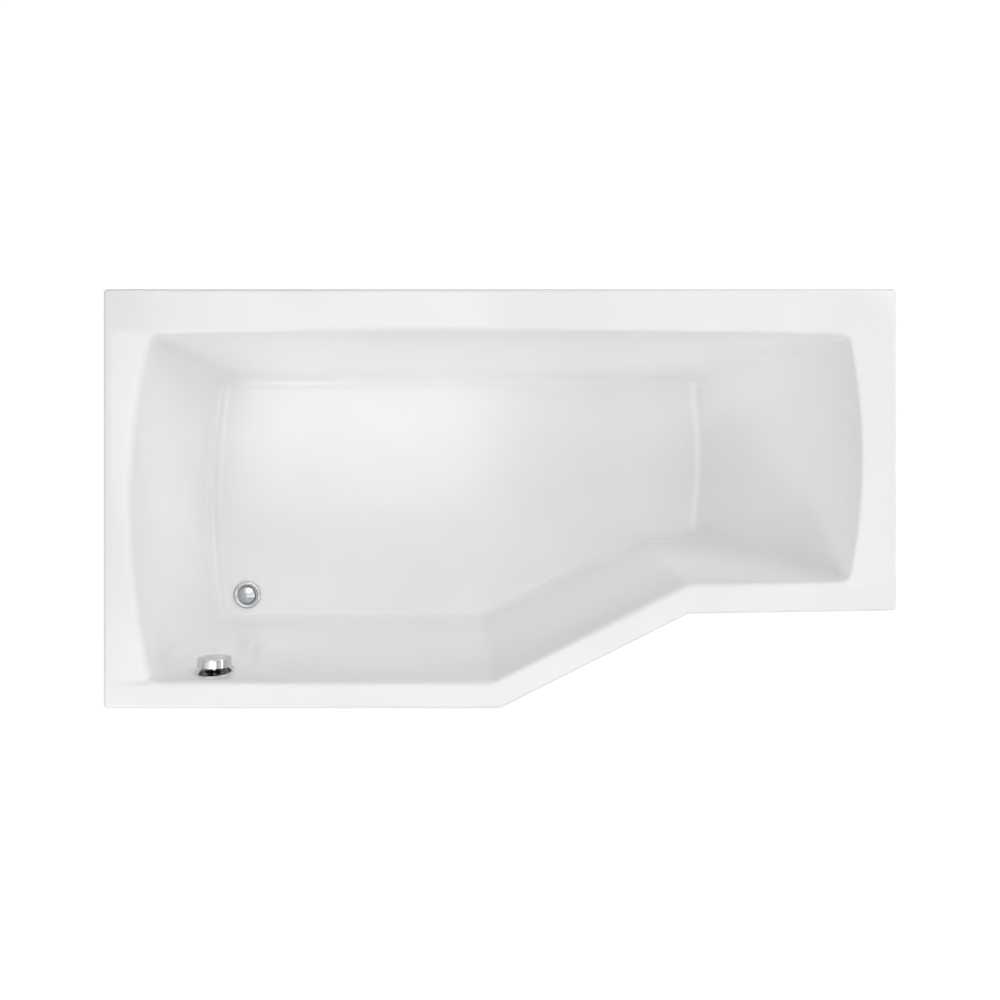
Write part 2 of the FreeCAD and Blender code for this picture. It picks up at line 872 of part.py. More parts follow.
def drain_body():
    top = body_top()
    bottom = cup_bottom()
    cup_bore = cup_radius - cup_wall
    outlet_bore = trap_pipe_radius - trap_pipe_wall
    thread_bore = flange_neck_radius + neck_thread_clearance
    neck_end = floor_height - flange_neck_depth
    shell = turned([
        (outlet_bore, outlet_neck_end()),
        (trap_pipe_radius, outlet_neck_end()),
        (trap_pipe_radius, bottom - cup_wall),
        (cup_radius, bottom - cup_wall),
        (cup_radius, top - body_flange_thickness),
        (body_flange_radius, top - body_flange_thickness),
        (body_flange_radius, top),
        (thread_bore, top),
        (thread_bore, neck_end),
        (cup_bore, neck_end - cup_wall),
        (cup_bore, bottom),
        (outlet_bore, bottom),
    ], [0, 0, 0, cup_wall, 0, 0, 0, 0, 0, 0, 0, 0])
    rib = block(cup_radius - cup_wall / 2, body_flange_radius - cup_wall / 2,
                -cup_rib_width / 2, cup_rib_width / 2,
                top - body_flange_thickness - cup_rib_height, top - body_flange_thickness)
    slant = [edge for edge in rib.Edges
             if edge.BoundBox.XMin > cup_radius + cup_wall and edge.BoundBox.ZMax < top - cup_rib_height]
    rib = rib.makeChamfer(body_flange_radius - cup_radius - cup_wall / 2, slant)
    ribs = around(rib, cup_ribs)
    shell = at(shell.fuse(ribs), drain_x, drain_y)
    gland_height = lever_pivot_height()
    gland = Part.makeCone(gland_root_radius, gland_tip_radius, gland_length + cup_wall,
                          Vector(drain_x - cup_radius + cup_wall, drain_y, gland_height), Vector(-1, 0, 0))
    inlet = pipe(inlet_path(cup_radius - cup_wall), inlet_bend_radius, overflow_pipe_radius)
    inlet = inlet.cut(at(rod(cup_bore, bottom, top), drain_x, drain_y))
    inlet_bore = pipe(inlet_path(0), inlet_bend_radius, overflow_pipe_radius - overflow_pipe_wall)
    gland_bore = Part.makeCylinder(gland_bore_radius, cup_radius + gland_length + overrun,
                                   Vector(drain_x, drain_y, gland_height), Vector(-1, 0, 0))
    body = shell.fuse([inlet, gland]).cut([inlet_bore, gland_bore])
    return body.fuse(lever_lugs()).removeSplitter()


# Lift lever

def lever_pivot_height():
    return stem_bottom() - lever_tip_gap - lever_nose_radius


def lever_half():
    return lever_thickness / 2


def lever_lugs():
    """Two lugs on the floor of the cup that carry the lever's pin."""
    pivot_x = drain_x - lever_reach
    inner = lever_half() + lever_side_gap
    lugs = []
    for side in (-1, 1):
        low = min(side * inner, side * (inner + lug_thickness))
        height = lever_pivot_height()
        post = block(pivot_x - lug_radius, pivot_x + lug_radius, drain_y + low, drain_y + low + lug_thickness,
                     cup_bottom() - cup_wall / 2, height)
        eye = Part.makeCylinder(lug_radius, lug_thickness, Vector(pivot_x, drain_y + low, height), Vector(0, 1, 0))
        lugs.append(post.fuse(eye).cut(lever_pin_rod(lever_pin_clearance)))
    return lugs


def lever_pin_rod(clearance):
    half = lever_half() + lever_side_gap + lug_thickness
    start = Vector(drain_x - lever_reach, drain_y - half, lever_pivot_height())
    return Part.makeCylinder(lever_pin_radius + clearance, 2 * half, start, Vector(0, 1, 0))


def lift_lever():
    pivot = Vector(drain_x - lever_reach, drain_y - lever_half(), lever_pivot_height())
    nose = Vector(drain_x, pivot.y, pivot.z)
    tail = pivot + Vector(0, 0, lever_tail)
    across = Vector(0, 1, 0)
    eye = Part.makeCylinder(lever_eye_radius, lever_thickness, pivot, across)
    nose_end = Part.makeCylinder(lever_nose_radius, lever_thickness, nose, across)
    tail_end = Part.makeCylinder(lever_tail_radius, lever_thickness, tail, across)
    arm = block(pivot.x, nose.x, pivot.y, pivot.y + lever_thickness,
                pivot.z - lever_nose_radius, pivot.z + lever_nose_radius)
    upright = block(pivot.x - lever_tail_radius, pivot.x + lever_tail_radius, pivot.y,
                    pivot.y + lever_thickness, pivot.z, tail.z)
    lever = eye.fuse([nose_end, tail_end, arm, upright]).removeSplitter()
    return lever.cut(lever_pin_rod(lever_pin_clearance))


def lift_lever_pin():
    return lever_pin_rod(0)


# Overflow; its pieces are drawn about Z with the wall's inner face at zero, +Z into the tub
# and +Y down the wall, and are then turned onto the wall.

def wall_tilt():
    return math.degrees(math.atan(lean_front / basin_depth))


def wall_placement():
    inner_y = rim_front - half_width + lean_front * overflow_drop / basin_depth
    origin = Vector(overflow_x, inner_y, rim_height - overflow_drop)
    return Placement(origin, Rotation(Vector(1, 0, 0), wall_tilt() - 90))


def on_wall(shape):
    placed = shape.copy()
    placed.Placement = wall_placement()
    return placed


def on_level(shape):
    """Set a shape on the knob's axis, which lies level although the wall leans."""
    placed = shape.copy()
    placed.Placement = Placement(wall_placement().Base, Rotation(Vector(1, 0, 0), -90))
    return placed


def wall_point(x, y, z):
    return wall_placement().multVec(Vector(x, y, z))


def outside_face():
    """Depth, behind the wall's inner face, where the overflow gasket clears the backing."""
    outer_lean = lean_front / (basin_depth + laminate)
    depths = []
    for along in (-overflow_gasket_radius, overflow_gasket_radius):
        point = wall_point(0, along, 0)
        outer_y = rim_front - laminate - half_width + outer_lean * (rim_height - point.z)
        depths.append((point.y - outer_y) / math.cos(math.radians(wall_tilt())))
    return -max(depths) - overflow_seat_clearance


def body_face():
    return outside_face() - overflow_gasket_thickness


def pipe_setback():
    return body_face() - overflow_body_depth / 2


def overflow_backplate():
    bore = plate_neck_radius - plate_neck_wall
    plate = turned([
        (bore, -plate_neck_depth),
        (plate_neck_radius, -plate_neck_depth),
        (plate_neck_radius, 0),
        (plate_radius, 0),
        (plate_radius, plate_thickness),
        (bore, plate_thickness),
    ], [0, 0, 0, 0, plate_edge_radius, plate_edge_radius])
    half = plate_spoke_width / 2
    reach = bore + pick_tolerance
    spoke = block(-reach, reach, -half, half, -plate_thickness, plate_thickness)
    hub = rod(plate_hub_radius, -plate_thickness, plate_thickness)
    shaft_bore = rod(shaft_radius + shaft_clearance, -overrun, overrun)
    shaft_bore.rotate(Vector(0, 0, 0), Vector(1, 0, 0), -wall_tilt())
    cuts = [shaft_bore]
    for x in overflow_screw_places():
        cuts.append(rod(overflow_screw_radius + overflow_screw_clearance, -overrun, overrun, x))
        cuts.append(rod(overflow_screw_head_radius + overflow_screw_clearance,
                        plate_thickness - overflow_screw_head_height, plate_thickness + overrun, x))
    return on_wall(plate.fuse([spoke, hub]).removeSplitter().cut(cuts))


def overflow_screw_places():
    return (-overflow_screw_spacing / 2, overflow_screw_spacing / 2)


def screw_tip():
    return body_face() - overflow_body_wall - overflow_screw_engagement


def overflow_screws():
    head_bottom = plate_thickness - overflow_screw_head_height
    screws = []
    for x in overflow_screw_places():
        head = rod(overflow_screw_head_radius, head_bottom, plate_thickness, x)
        shank = rod(overflow_screw_radius, screw_tip(), head_bottom, x)
        screws.append(on_wall(head.fuse(shank).removeSplitter()))
    return Part.Compound(screws)


def overflow_gasket():
    return on_wall(ring(overflow_hole_radius, overflow_gasket_radius, body_face(), outside_face()))


def overflow_body():
    face = body_face()
    back = face - overflow_body_depth
    inner_radius = overflow_body_radius - overflow_body_wall
    cup = turned([
        (0, back),
        (overflow_body_radius, back),
        (overflow_body_radius, face),
        (overflow_hole_radius, face),
        (overflow_hole_radius, face - overflow_body_wall),
        (inner_radius, face - overflow_body_wall),
        (inner_radius, back + overflow_body_wall),
        (0, back + overflow_body_wall),
    ], [0, overflow_body_edge_radius, 0, 0, 0, 0, 0, 0])
    down = Vector(0, 1, 0)
    setback = pipe_setback()
    spigot_end = overflow_body_radius + overflow_spigot_length
    spigot = Part.makeCylinder(overflow_pipe_radius, spigot_end, Vector(0, 0, setback), down)
    gland_root = math.sqrt(overflow_body_radius ** 2 - overflow_gland_x ** 2) - overflow_body_wall
    gland = Part.makeCone(gland_root_radius, gland_tip_radius, gland_length,
                          Vector(overflow_gland_x, gland_root, setback), down)
    hollow = rod(inner_radius, back + overflow_body_wall, face - overflow_body_wall)
    added = spigot.fuse(gland).cut(hollow)
    spigot_bore = Part.makeCylinder(overflow_pipe_radius - overflow_pipe_wall, spigot_end + overrun,
                                    Vector(0, 0, setback), down)
    gland_bore = Part.makeCylinder(gland_bore_radius, gland_root + gland_length + overrun,
                                   Vector(overflow_gland_x, 0, setback), down)
    body = cup.fuse(added).cut([spigot_bore, gland_bore])
    boss_top = face - overflow_body_wall
    bosses = [rod(overflow_boss_radius, back + overflow_body_wall / 2, boss_top, x)
              for x in overflow_screw_places()]
    pilots = [rod(overflow_screw_radius + pilot_clearance, screw_tip() - pilot_clearance, face + overrun, x)
              for x in overflow_screw_places()]
    return on_wall(body.fuse(bosses).removeSplitter().cut(pilots))


def knob_back():
    return plate_thickness + knob_gap


def knob_front():
    return knob_back() + knob_depth


def overflow_knob():
    back = knob_back()
    front = knob_front()
    front_radius = knob_radius - knob_taper
    dome_radius = (front_radius ** 2 + knob_dome ** 2) / (2 * knob_dome)
    drum_part = turned([(0, back), (knob_radius, back), (front_radius, front + knob_dome), (0, front + knob_dome)])
    dome = Part.makeSphere(dome_radius, Vector(0, 0, front + knob_dome - dome_radius))
    outside = drum_part.common(dome)
    rims = [edge for edge in outside.Edges
            if abs(edge.BoundBox.ZMin - edge.BoundBox.ZMax) < pick_tolerance and edge.BoundBox.ZMin > back]
    outside = outside.makeFillet(knob_edge_radius, rims)
    inside_radius = front_radius - knob_wall
    inside_dome = Part.makeSphere(dome_radius - knob_wall, Vector(0, 0, front + knob_dome - dome_radius))
    hollow = rod(inside_radius, back - overrun, front + knob_dome).common(inside_dome)
    hub = rod(knob_hub_radius, back, front + knob_dome).common(outside)
    bore = rod(shaft_radius + shaft_clearance, back - overrun, back + shaft_knob_length)
    return on_level(outside.cut(hollow).fuse(hub).removeSplitter().cut(bore))


def drum_face():
    return body_face() - drum_setback


def overflow_shaft():
    bottom = drum_face() - drum_thickness - shaft_tail
    return on_level(rod(shaft_radius, bottom, knob_back() + shaft_knob_length))


def cable_drum():
    top = drum_face()
    middle = top - drum_thickness / 2
    drum = ring(shaft_radius + shaft_clearance, drum_radius, top - drum_thickness, top)
    groove = Part.makeTorus(drum_radius, drum_groove_radius, Vector(0, 0, middle))
    return on_level(drum.cut(groove))


# Overflow pipe and trap

def overflow_pipe():
    joint = overflow_body_radius + overflow_spigot_length
    top = wall_point(0, joint, pipe_setback())
    bottom = inlet_path(0)[-1]
    bore = overflow_pipe_radius - overflow_pipe_wall
    length = (bottom - top).Length
    tube = Part.makeCylinder(overflow_pipe_radius, length, top, bottom - top)
    return tube.cut(Part.makeCylinder(bore, length + overrun, top, bottom - top))


def overflow_pipe_nuts():
    nut = union_nut(overflow_pipe_radius + nut_clearance, pipe_nut_wall, pipe_nut_length)
    joint = overflow_body_radius + overflow_spigot_length
    top = wall_point(0, joint, pipe_setback())
    bottom = inlet_path(0)[-1]
    turn = Rotation(Vector(0, 0, 1), bottom - top)
    nuts = []
    for place in (top, bottom):
        placed = nut.copy()
        placed.Placement = Placement(place, turn)
        nuts.append(placed)
    return Part.Compound(nuts)


def trap_nut_reach():
    """Straight length that a pipe needs beside its union nut before it bends."""
    return trap_nut_length / 2 + nut_bend_gap


def trap_points():
    """Trap bend from the waste down, round and up again, wholly in the plane across the tub."""
    top = outlet_neck_end()
    low = top - trap_nut_reach() - trap_bend_radius
    far_y = drain_y + 2 * trap_bend_radius
    return [Vector(drain_x, drain_y, top), Vector(drain_x, drain_y, low),
            Vector(drain_x, far_y, low), Vector(drain_x, far_y, top)]


def trap_bend():
    points = trap_points()
    outside = pipe(points, trap_bend_radius, trap_pipe_radius)
    return outside.cut(pipe(points, trap_bend_radius, trap_pipe_radius - trap_pipe_wall))


def outlet_points():
    start = trap_points()[-1]
    corner = start + Vector(0, 0, trap_nut_reach() + elbow_bend_radius)
    return [start, corner, corner - Vector(elbow_bend_radius + outlet_run, 0, 0)]


def outlet_elbow():
    points = outlet_points()
    outside = pipe(points, elbow_bend_radius, trap_pipe_radius)
    return outside.cut(pipe(points, elbow_bend_radius, trap_pipe_radius - trap_pipe_wall))


def trap_nuts():
    nut = union_nut(trap_pipe_radius + nut_clearance, trap_nut_wall, trap_nut_length)
    inlet = trap_points()[0]
    outlet = trap_points()[-1]
    return Part.Compound([at(nut, inlet.x, inlet.y, inlet.z), at(nut, outlet.x, outlet.y, outlet.z)])


def parts():
    nodes = {
        "tub_shell": tub_shell(),
        "glass_fibre_backing": glass_fibre_backing(),
        "base_board": base_board(),
        "leg_bar_screws": bar_screws(),
        "foot_nuts": foot_nuts(),
        "drain_flange": drain_flange(),
        "drain_flange_gasket": drain_flange_gasket(),
        "drain_plug": drain_plug(),
        "plug_seal": plug_seal(),
        "plug_stem": plug_stem(),
        "drain_body_gasket": drain_body_gasket(),
        "drain_body": drain_body(),
        "lift_lever": lift_lever(),
        "lift_lever_pin": lift_lever_pin(),
        "overflow_backplate": overflow_backplate(),
        "overflow_screws": overflow_screws(),
        "overflow_gasket": overflow_gasket(),
        "overflow_body": overflow_body(),
        "overflow_knob": overflow_knob(),
        "overflow_shaft": overflow_shaft(),
        "cable_drum": cable_drum(),
        "overflow_pipe": overflow_pipe(),
        "overflow_pipe_nuts": overflow_pipe_nuts(),
        "trap_nuts": trap_nuts(),
        "trap_bend": trap_bend(),
        "outlet_elbow": outlet_elbow(),
    }
    nodes.update(rim_battens())
    for name, (x, front, back) in bar_feet().items():
        nodes[name] = leg_bar(x, front, back)
    for number, (x, y) in enumerate(foot_places(), start=1):
        nodes[f"foot_pad_{number}"] = at(foot_pad(), x, y)
        nodes[f"foot_spindle_{number}"] = at(foot_spindle(), x, y)
    return nodes


os.makedirs("parts", exist_ok=True)
for name, shape in parts().items():
    shape.exportStep(f"parts/{name}.step")
    size = shape.BoundBox
    print(f"{name}: {len(shape.Solids)} solid, valid {shape.isValid()}, volume {shape.Volume:.0f}, "
          f"x {size.XMin:.1f}..{size.XMax:.1f}, y {size.YMin:.1f}..{size.YMax:.1f}, "
          f"z {size.ZMin:.1f}..{size.ZMax:.1f}")
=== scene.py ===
import json
import math

import bmesh
import bpy
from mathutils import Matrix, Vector


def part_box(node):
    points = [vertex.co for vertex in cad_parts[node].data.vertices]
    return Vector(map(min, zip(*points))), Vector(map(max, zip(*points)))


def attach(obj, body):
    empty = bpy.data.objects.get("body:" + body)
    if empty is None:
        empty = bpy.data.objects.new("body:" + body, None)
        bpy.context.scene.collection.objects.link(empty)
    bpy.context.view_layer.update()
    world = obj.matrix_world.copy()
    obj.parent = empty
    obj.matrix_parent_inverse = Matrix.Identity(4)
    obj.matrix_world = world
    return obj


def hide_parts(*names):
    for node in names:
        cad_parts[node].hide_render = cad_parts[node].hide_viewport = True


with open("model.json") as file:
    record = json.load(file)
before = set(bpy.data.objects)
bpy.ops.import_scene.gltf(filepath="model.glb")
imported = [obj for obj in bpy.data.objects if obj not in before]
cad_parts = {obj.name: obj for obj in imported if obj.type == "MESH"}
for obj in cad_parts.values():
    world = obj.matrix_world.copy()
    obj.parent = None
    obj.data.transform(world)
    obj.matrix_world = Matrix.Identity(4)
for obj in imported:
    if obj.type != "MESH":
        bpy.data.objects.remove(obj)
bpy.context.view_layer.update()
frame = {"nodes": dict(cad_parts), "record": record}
mm = 0.001


def hexColour(code):  # sRGB hex to linear
    parts = [int(code[start:start + 2], 16) / 255 for start in (1, 3, 5)]
    linear = [part / 12.92 if part <= 0.04045 else ((part + 0.055) / 1.055) ** 2.4 for part in parts]
    return (*linear, 1.0)


def perMetre(millimetres):  # texture scale for a pattern of that real size
    return 1000 / millimetres


# an input takes a value or the socket that feeds it, and stops are the bands of a colour ramp
def addNode(tree, kind, inputs=None, stops=(), **settings):
    node = tree.nodes.new(kind)
    for name, value in settings.items():
        setattr(node, name, value)
    for name, value in (inputs or {}).items():
        if isinstance(value, bpy.types.NodeSocket):
            tree.links.new(value, node.inputs[name])
        else:
            node.inputs[name].default_value = value
    for place, (position, code) in enumerate(stops):
        bands = node.color_ramp.elements
        band = bands[place] if place < 2 else bands.new(position)  # a new ramp has two
        band.position = position
        band.color = hexColour(code)
    return node


# surface with its plain values on its own sockets, and the piece's own coordinates
def startMaterial(name, plain):
    material = bpy.data.materials.new(name)
    material.use_nodes = True
    tree = material.node_tree
    tree.nodes.clear()
    surface = addNode(tree, "ShaderNodeBsdfPrincipled", plain)
    addNode(tree, "ShaderNodeOutputMaterial", {"Surface": surface.outputs["BSDF"]})
    place = addNode(tree, "ShaderNodeTexCoord").outputs["Object"]
    return material, tree, surface, place


def newObject(name, mesh):
    piece = bpy.data.objects.new(name, mesh)
    bpy.context.scene.collection.objects.link(piece)
    return piece


def flatten(piece):  # modifiers into a plain mesh
    depsgraph = bpy.context.evaluated_depsgraph_get()
    mesh = bpy.data.meshes.new_from_object(piece.evaluated_get(depsgraph))
    piece.modifiers.clear()
    piece.data = mesh


def newTree(name, inputs):  # Geometry Nodes tree with a named input for each size
    tree = bpy.data.node_groups.new(name, "GeometryNodeTree")
    tree.interface.new_socket("Geometry", in_out="INPUT", socket_type="NodeSocketGeometry")
    for label, kind in inputs.items():
        tree.interface.new_socket(label, in_out="INPUT", socket_type="NodeSocket" + kind)
    tree.interface.new_socket("Geometry", in_out="OUTPUT", socket_type="NodeSocketGeometry")
    return tree, addNode(tree, "NodeGroupInput").outputs


def useTree(piece, tree, values):
    modifier = piece.modifiers.new(tree.name, "NODES")
    modifier.node_group = tree
    for item in tree.interface.items_tree:
        if item.in_out == "INPUT" and item.name in values:
            modifier[item.identifier] = values[item.name]


# camera straight above the tub, as in the photograph
cameraSet = {"place": (0.0, -0.0027, 2.58), "lens": 33.68, "sensor": 36.0}
camera = bpy.data.cameras.new("topCamera")
camera.lens = cameraSet["lens"]
camera.sensor_width = cameraSet["sensor"]
cameraObject = newObject("topCamera", camera)
cameraObject.location = cameraSet["place"]
bpy.context.scene.camera = cameraObject
print("camera set")

noiseLow, noiseHigh = 0.3, 0.7  # nearly all values of a noise lie between these


# acrylic sheet drawn into a mould: deep wet gloss, almost neutral white, a faint long wave in reflections
acrylicLook = {"ior": 1.49, "tones": ((0.35, "#FAFAFA"), (0.65, "#F7F7F7")), "mottleMm": 260,
               "smooth": 0.10, "worn": 0.16, "waveMm": 140, "waveDetail": 1.0, "waveDepthMm": 0.12, "bump": 1.0}
acrylic, tree, surface, place = startMaterial("vacuumFormedAcrylic", {"IOR": acrylicLook["ior"]})
mottle = addNode(tree, "ShaderNodeTexNoise", {"Vector": place, "Scale": perMetre(acrylicLook["mottleMm"])})
tint = addNode(tree, "ShaderNodeValToRGB", {"Fac": mottle.outputs["Fac"]}, stops=acrylicLook["tones"])
tree.links.new(tint.outputs["Color"], surface.inputs["Base Color"])
gloss = addNode(tree, "ShaderNodeMapRange", {
    "Value": mottle.outputs["Fac"], "From Min": noiseLow, "From Max": noiseHigh,
    "To Min": acrylicLook["smooth"], "To Max": acrylicLook["worn"]})
tree.links.new(gloss.outputs["Result"], surface.inputs["Roughness"])
wave = addNode(tree, "ShaderNodeTexNoise", {"Vector": place, "Scale": perMetre(acrylicLook["waveMm"]),
                                            "Detail": acrylicLook["waveDetail"]})
wavy = addNode(tree, "ShaderNodeBump", {"Height": wave.outputs["Fac"], "Strength": acrylicLook["bump"],
                                        "Distance": acrylicLook["waveDepthMm"] * mm})
tree.links.new(wavy.outputs["Normal"], surface.inputs["Normal"])


# sprayed glass fibre and resin: cloudy straw white with chopped strands lying every way
fibreLook = {"ior": 1.5, "rough": 0.42, "tones": ((0.68, "#C6C4AE"), (0.9, "#E6E5DA")),
             "strandMm": 3.0, "strandStretch": 14.0, "strandDepthMm": 0.5, "bump": 0.8,
             "strandTurns": ((0.3, 0.2, 0.4), (1.2, 0.5, 1.5), (0.7, 1.1, 2.6), (2.0, 0.3, 0.9)),
             "cloudMm": 90, "cloudShare": 0.25}
glassFibre, tree, surface, place = startMaterial("sprayedGlassFibre", {"IOR": fibreLook["ior"],
                                                                       "Roughness": fibreLook["rough"]})
strands = None
for turn in fibreLook["strandTurns"]:
    along = addNode(tree, "ShaderNodeMapping", {"Vector": place, "Rotation": turn,
                                                "Scale": (1.0, fibreLook["strandStretch"], 1.0)},
                    vector_type="TEXTURE")  # turned first and then stretched
    strand = addNode(tree, "ShaderNodeTexNoise", {"Vector": along.outputs["Vector"], "Detail": 0.0,
                                                  "Scale": perMetre(fibreLook["strandMm"])})
    strands = strand.outputs["Fac"] if strands is None else addNode(
        tree, "ShaderNodeMath", {0: strands, 1: strand.outputs["Fac"]}, operation="MAXIMUM").outputs["Value"]
cloud = addNode(tree, "ShaderNodeTexNoise", {"Vector": place, "Scale": perMetre(fibreLook["cloudMm"])})
mixed = addNode(tree, "ShaderNodeMath", {0: cloud.outputs["Fac"], 1: fibreLook["cloudShare"], 2: strands},
                operation="MULTIPLY_ADD")
tint = addNode(tree, "ShaderNodeValToRGB", {"Fac": mixed.outputs["Value"]}, stops=fibreLook["tones"])
tree.links.new(tint.outputs["Color"], surface.inputs["Base Color"])
raised = addNode(tree, "ShaderNodeBump", {"Height": strands, "Strength": fibreLook["bump"],
                                          "Distance": fibreLook["strandDepthMm"] * mm})
tree.links.new(raised.outputs["Normal"], surface.inputs["Normal"])


# raw chipboard: pressed flakes in tans and browns, dull
boardLook = {"ior": 1.45, "rough": 0.78, "flakeMm": 5.0, "warpMm": 4.0, "flakeDepthMm": 0.25, "bump": 0.5,
             "dustMm": 1.4, "dustShare": 0.5,
             "tones": ((0.25, "#8F6B43"), (0.55, "#B08B5C"), (0.85, "#C7A679"), (1.0, "#D8BF96"))}
chipboard, tree, surface, place = startMaterial("pressedChipboard", {"IOR": boardLook["ior"],
                                                                     "Roughness": boardLook["rough"]})
warp = addNode(tree, "ShaderNodeTexNoise", {"Vector": place, "Scale": perMetre(boardLook["flakeMm"])})
bent = addNode(tree, "ShaderNodeVectorMath", {0: warp.outputs["Color"], 1: [boardLook["warpMm"] * mm] * 3,
                                              2: place}, operation="MULTIPLY_ADD")
flakes = addNode(tree, "ShaderNodeTexVoronoi", {"Vector": bent.outputs["Vector"],
                                                "Scale": perMetre(boardLook["flakeMm"])})
flake = addNode(tree, "ShaderNodeSeparateColor", {"Color": flakes.outputs["Color"]})
dust = addNode(tree, "ShaderNodeTexNoise", {"Vector": place, "Scale": perMetre(boardLook["dustMm"])})
level = addNode(tree, "ShaderNodeMath", {0: dust.outputs["Fac"], 1: boardLook["dustShare"],
                                         2: flake.outputs["Red"]}, operation="MULTIPLY_ADD")
tint = addNode(tree, "ShaderNodeValToRGB", {"Fac": level.outputs["Value"]}, stops=boardLook["tones"])
tree.links.new(tint.outputs["Color"], surface.inputs["Base Color"])
raised = addNode(tree, "ShaderNodeBump", {"Height": level.outputs["Value"], "Strength": boardLook["bump"],
                                          "Distance": boardLook["flakeDepthMm"] * mm})
tree.links.new(raised.outputs["Normal"], surface.inputs["Normal"])


# planed spruce: pale straw wood with darker growth lines along the batten, satin dull
spruceLook = {"ior": 1.45, "rough": 0.62, "tones": ((0.52, "#DDBF90"), (0.8, "#B98C58")),
              "ringMm": 7.0, "ringWanderMm": 160, "ringDetail": 2.0, "fibreMm": 0.9, "fibreDetail": 1.0,
              "fibreShare": 0.3, "grainDepthMm": 0.15, "bump": 0.6}


def planedSpruce(name, grainTurn):  # grain runs along X before the turn
    material, tree, surface, place = startMaterial(name, {"IOR": spruceLook["ior"],
                                                          "Roughness": spruceLook["rough"]})
    stretch = spruceLook["ringWanderMm"] / spruceLook["ringMm"]
    along = addNode(tree, "ShaderNodeMapping", {"Vector": place, "Rotation": (0.0, 0.0, grainTurn),
                                                "Scale": (stretch, 1.0, 1.0)}, vector_type="TEXTURE")
    rings = addNode(tree, "ShaderNodeTexNoise", {
        "Vector": along.outputs["Vector"], "Detail": spruceLook["ringDetail"],
        "Scale": perMetre(spruceLook["ringMm"])})
    fibres = addNode(tree, "ShaderNodeTexNoise", {
        "Vector": along.outputs["Vector"], "Detail": spruceLook["fibreDetail"],
        "Scale": perMetre(spruceLook["fibreMm"])})
    grain = addNode(tree, "ShaderNodeMath", {0: fibres.outputs["Fac"], 1: spruceLook["fibreShare"],
                                             2: rings.outputs["Fac"]}, operation="MULTIPLY_ADD")
    tint = addNode(tree, "ShaderNodeValToRGB", {"Fac": grain.outputs["Value"]}, stops=spruceLook["tones"])
    tree.links.new(tint.outputs["Color"], surface.inputs["Base Color"])
    raised = addNode(tree, "ShaderNodeBump", {"Height": grain.outputs["Value"], "Strength": spruceLook["bump"],
                                              "Distance": spruceLook["grainDepthMm"] * mm})
    tree.links.new(raised.outputs["Normal"], surface.inputs["Normal"])
    return material


# hot-dip galvanised steel: dull silver broken into spangle crystals
galvanisedLook = {"spangleMm": 11.0, "tones": ((0.0, "#A9AEB1"), (1.0, "#CBD0D2")),
                  "smooth": 0.34, "rough": 0.52}
galvanised, tree, surface, place = startMaterial("galvanisedSteel", {"Metallic": 1.0})
spangle = addNode(tree, "ShaderNodeTexVoronoi", {"Vector": place,
                                                 "Scale": perMetre(galvanisedLook["spangleMm"])})
crystal = addNode(tree, "ShaderNodeSeparateColor", {"Color": spangle.outputs["Color"]})
tint = addNode(tree, "ShaderNodeValToRGB", {"Fac": crystal.outputs["Red"]}, stops=galvanisedLook["tones"])
tree.links.new(tint.outputs["Color"], surface.inputs["Base Color"])
gloss = addNode(tree, "ShaderNodeMapRange", {
    "Value": crystal.outputs["Green"], "To Min": galvanisedLook["smooth"], "To Max": galvanisedLook["rough"]})
tree.links.new(gloss.outputs["Result"], surface.inputs["Roughness"])

platedSkin = {"driftDetail": 3.0, "bump": 0.3}


def platedMetal(name, look):  # metal skin whose tint and gloss drift over a few centimetres
    material, tree, surface, place = startMaterial(name, {"Metallic": 1.0})
    drift = addNode(tree, "ShaderNodeTexNoise", {"Vector": place, "Scale": perMetre(look["driftMm"]),
                                                 "Detail": platedSkin["driftDetail"]})
    tint = addNode(tree, "ShaderNodeValToRGB", {"Fac": drift.outputs["Fac"]},
                   stops=[(noiseLow, look["dark"]), (noiseHigh, look["light"])])
    tree.links.new(tint.outputs["Color"], surface.inputs["Base Color"])
    gloss = addNode(tree, "ShaderNodeMapRange", {
        "Value": drift.outputs["Fac"], "From Min": noiseLow, "From Max": noiseHigh,
        "To Min": look["smooth"], "To Max": look["rough"]})
    tree.links.new(gloss.outputs["Result"], surface.inputs["Roughness"])
    grit = addNode(tree, "ShaderNodeTexNoise", {"Vector": place, "Scale": perMetre(look["gritMm"])})
    raised = addNode(tree, "ShaderNodeBump", {"Height": grit.outputs["Fac"], "Strength": platedSkin["bump"],
                                              "Distance": look["gritDepthMm"] * mm})
    tree.links.new(raised.outputs["Normal"], surface.inputs["Normal"])
    return material


# polished chrome: a mirror that water marks have softened
chrome = platedMetal("polishedChrome", {"driftMm": 18, "dark": "#C9CBCE", "light": "#D6D8DA", "smooth": 0.15,
                                        "rough": 0.2, "gritMm": 6.0, "gritDepthMm": 0.004})
# chrome for the drain low in the basin: the same mirror made greyer as painted shade, darkening its
# reflections, and a little duller
shadedDrainChrome = platedMetal("shadedDrainChrome", {"driftMm": 14, "dark": "#AFB1B4", "light": "#BBBDC0",
                                            "smooth": 0.15, "rough": 0.22, "gritMm": 6.0, "gritDepthMm": 0.004})
# passivated zinc on steel: bluish silver, slightly uneven
zinc = platedMetal("passivatedZinc", {"driftMm": 9, "dark": "#A8AEB4", "light": "#C9CCC8", "smooth": 0.24,
                                      "rough": 0.38, "gritMm": 1.2, "gritDepthMm": 0.02})
# turned brass: warm yellow, fine tool marks drawn coarse enough to show
brass = platedMetal("turnedBrass", {"driftMm": 7, "dark": "#A4823F", "light": "#BF9D58", "smooth": 0.22,
                                    "rough": 0.34, "gritMm": 0.8, "gritDepthMm": 0.02})

mouldedSkin = {"driftDetail": 3.0, "bump": 0.5}


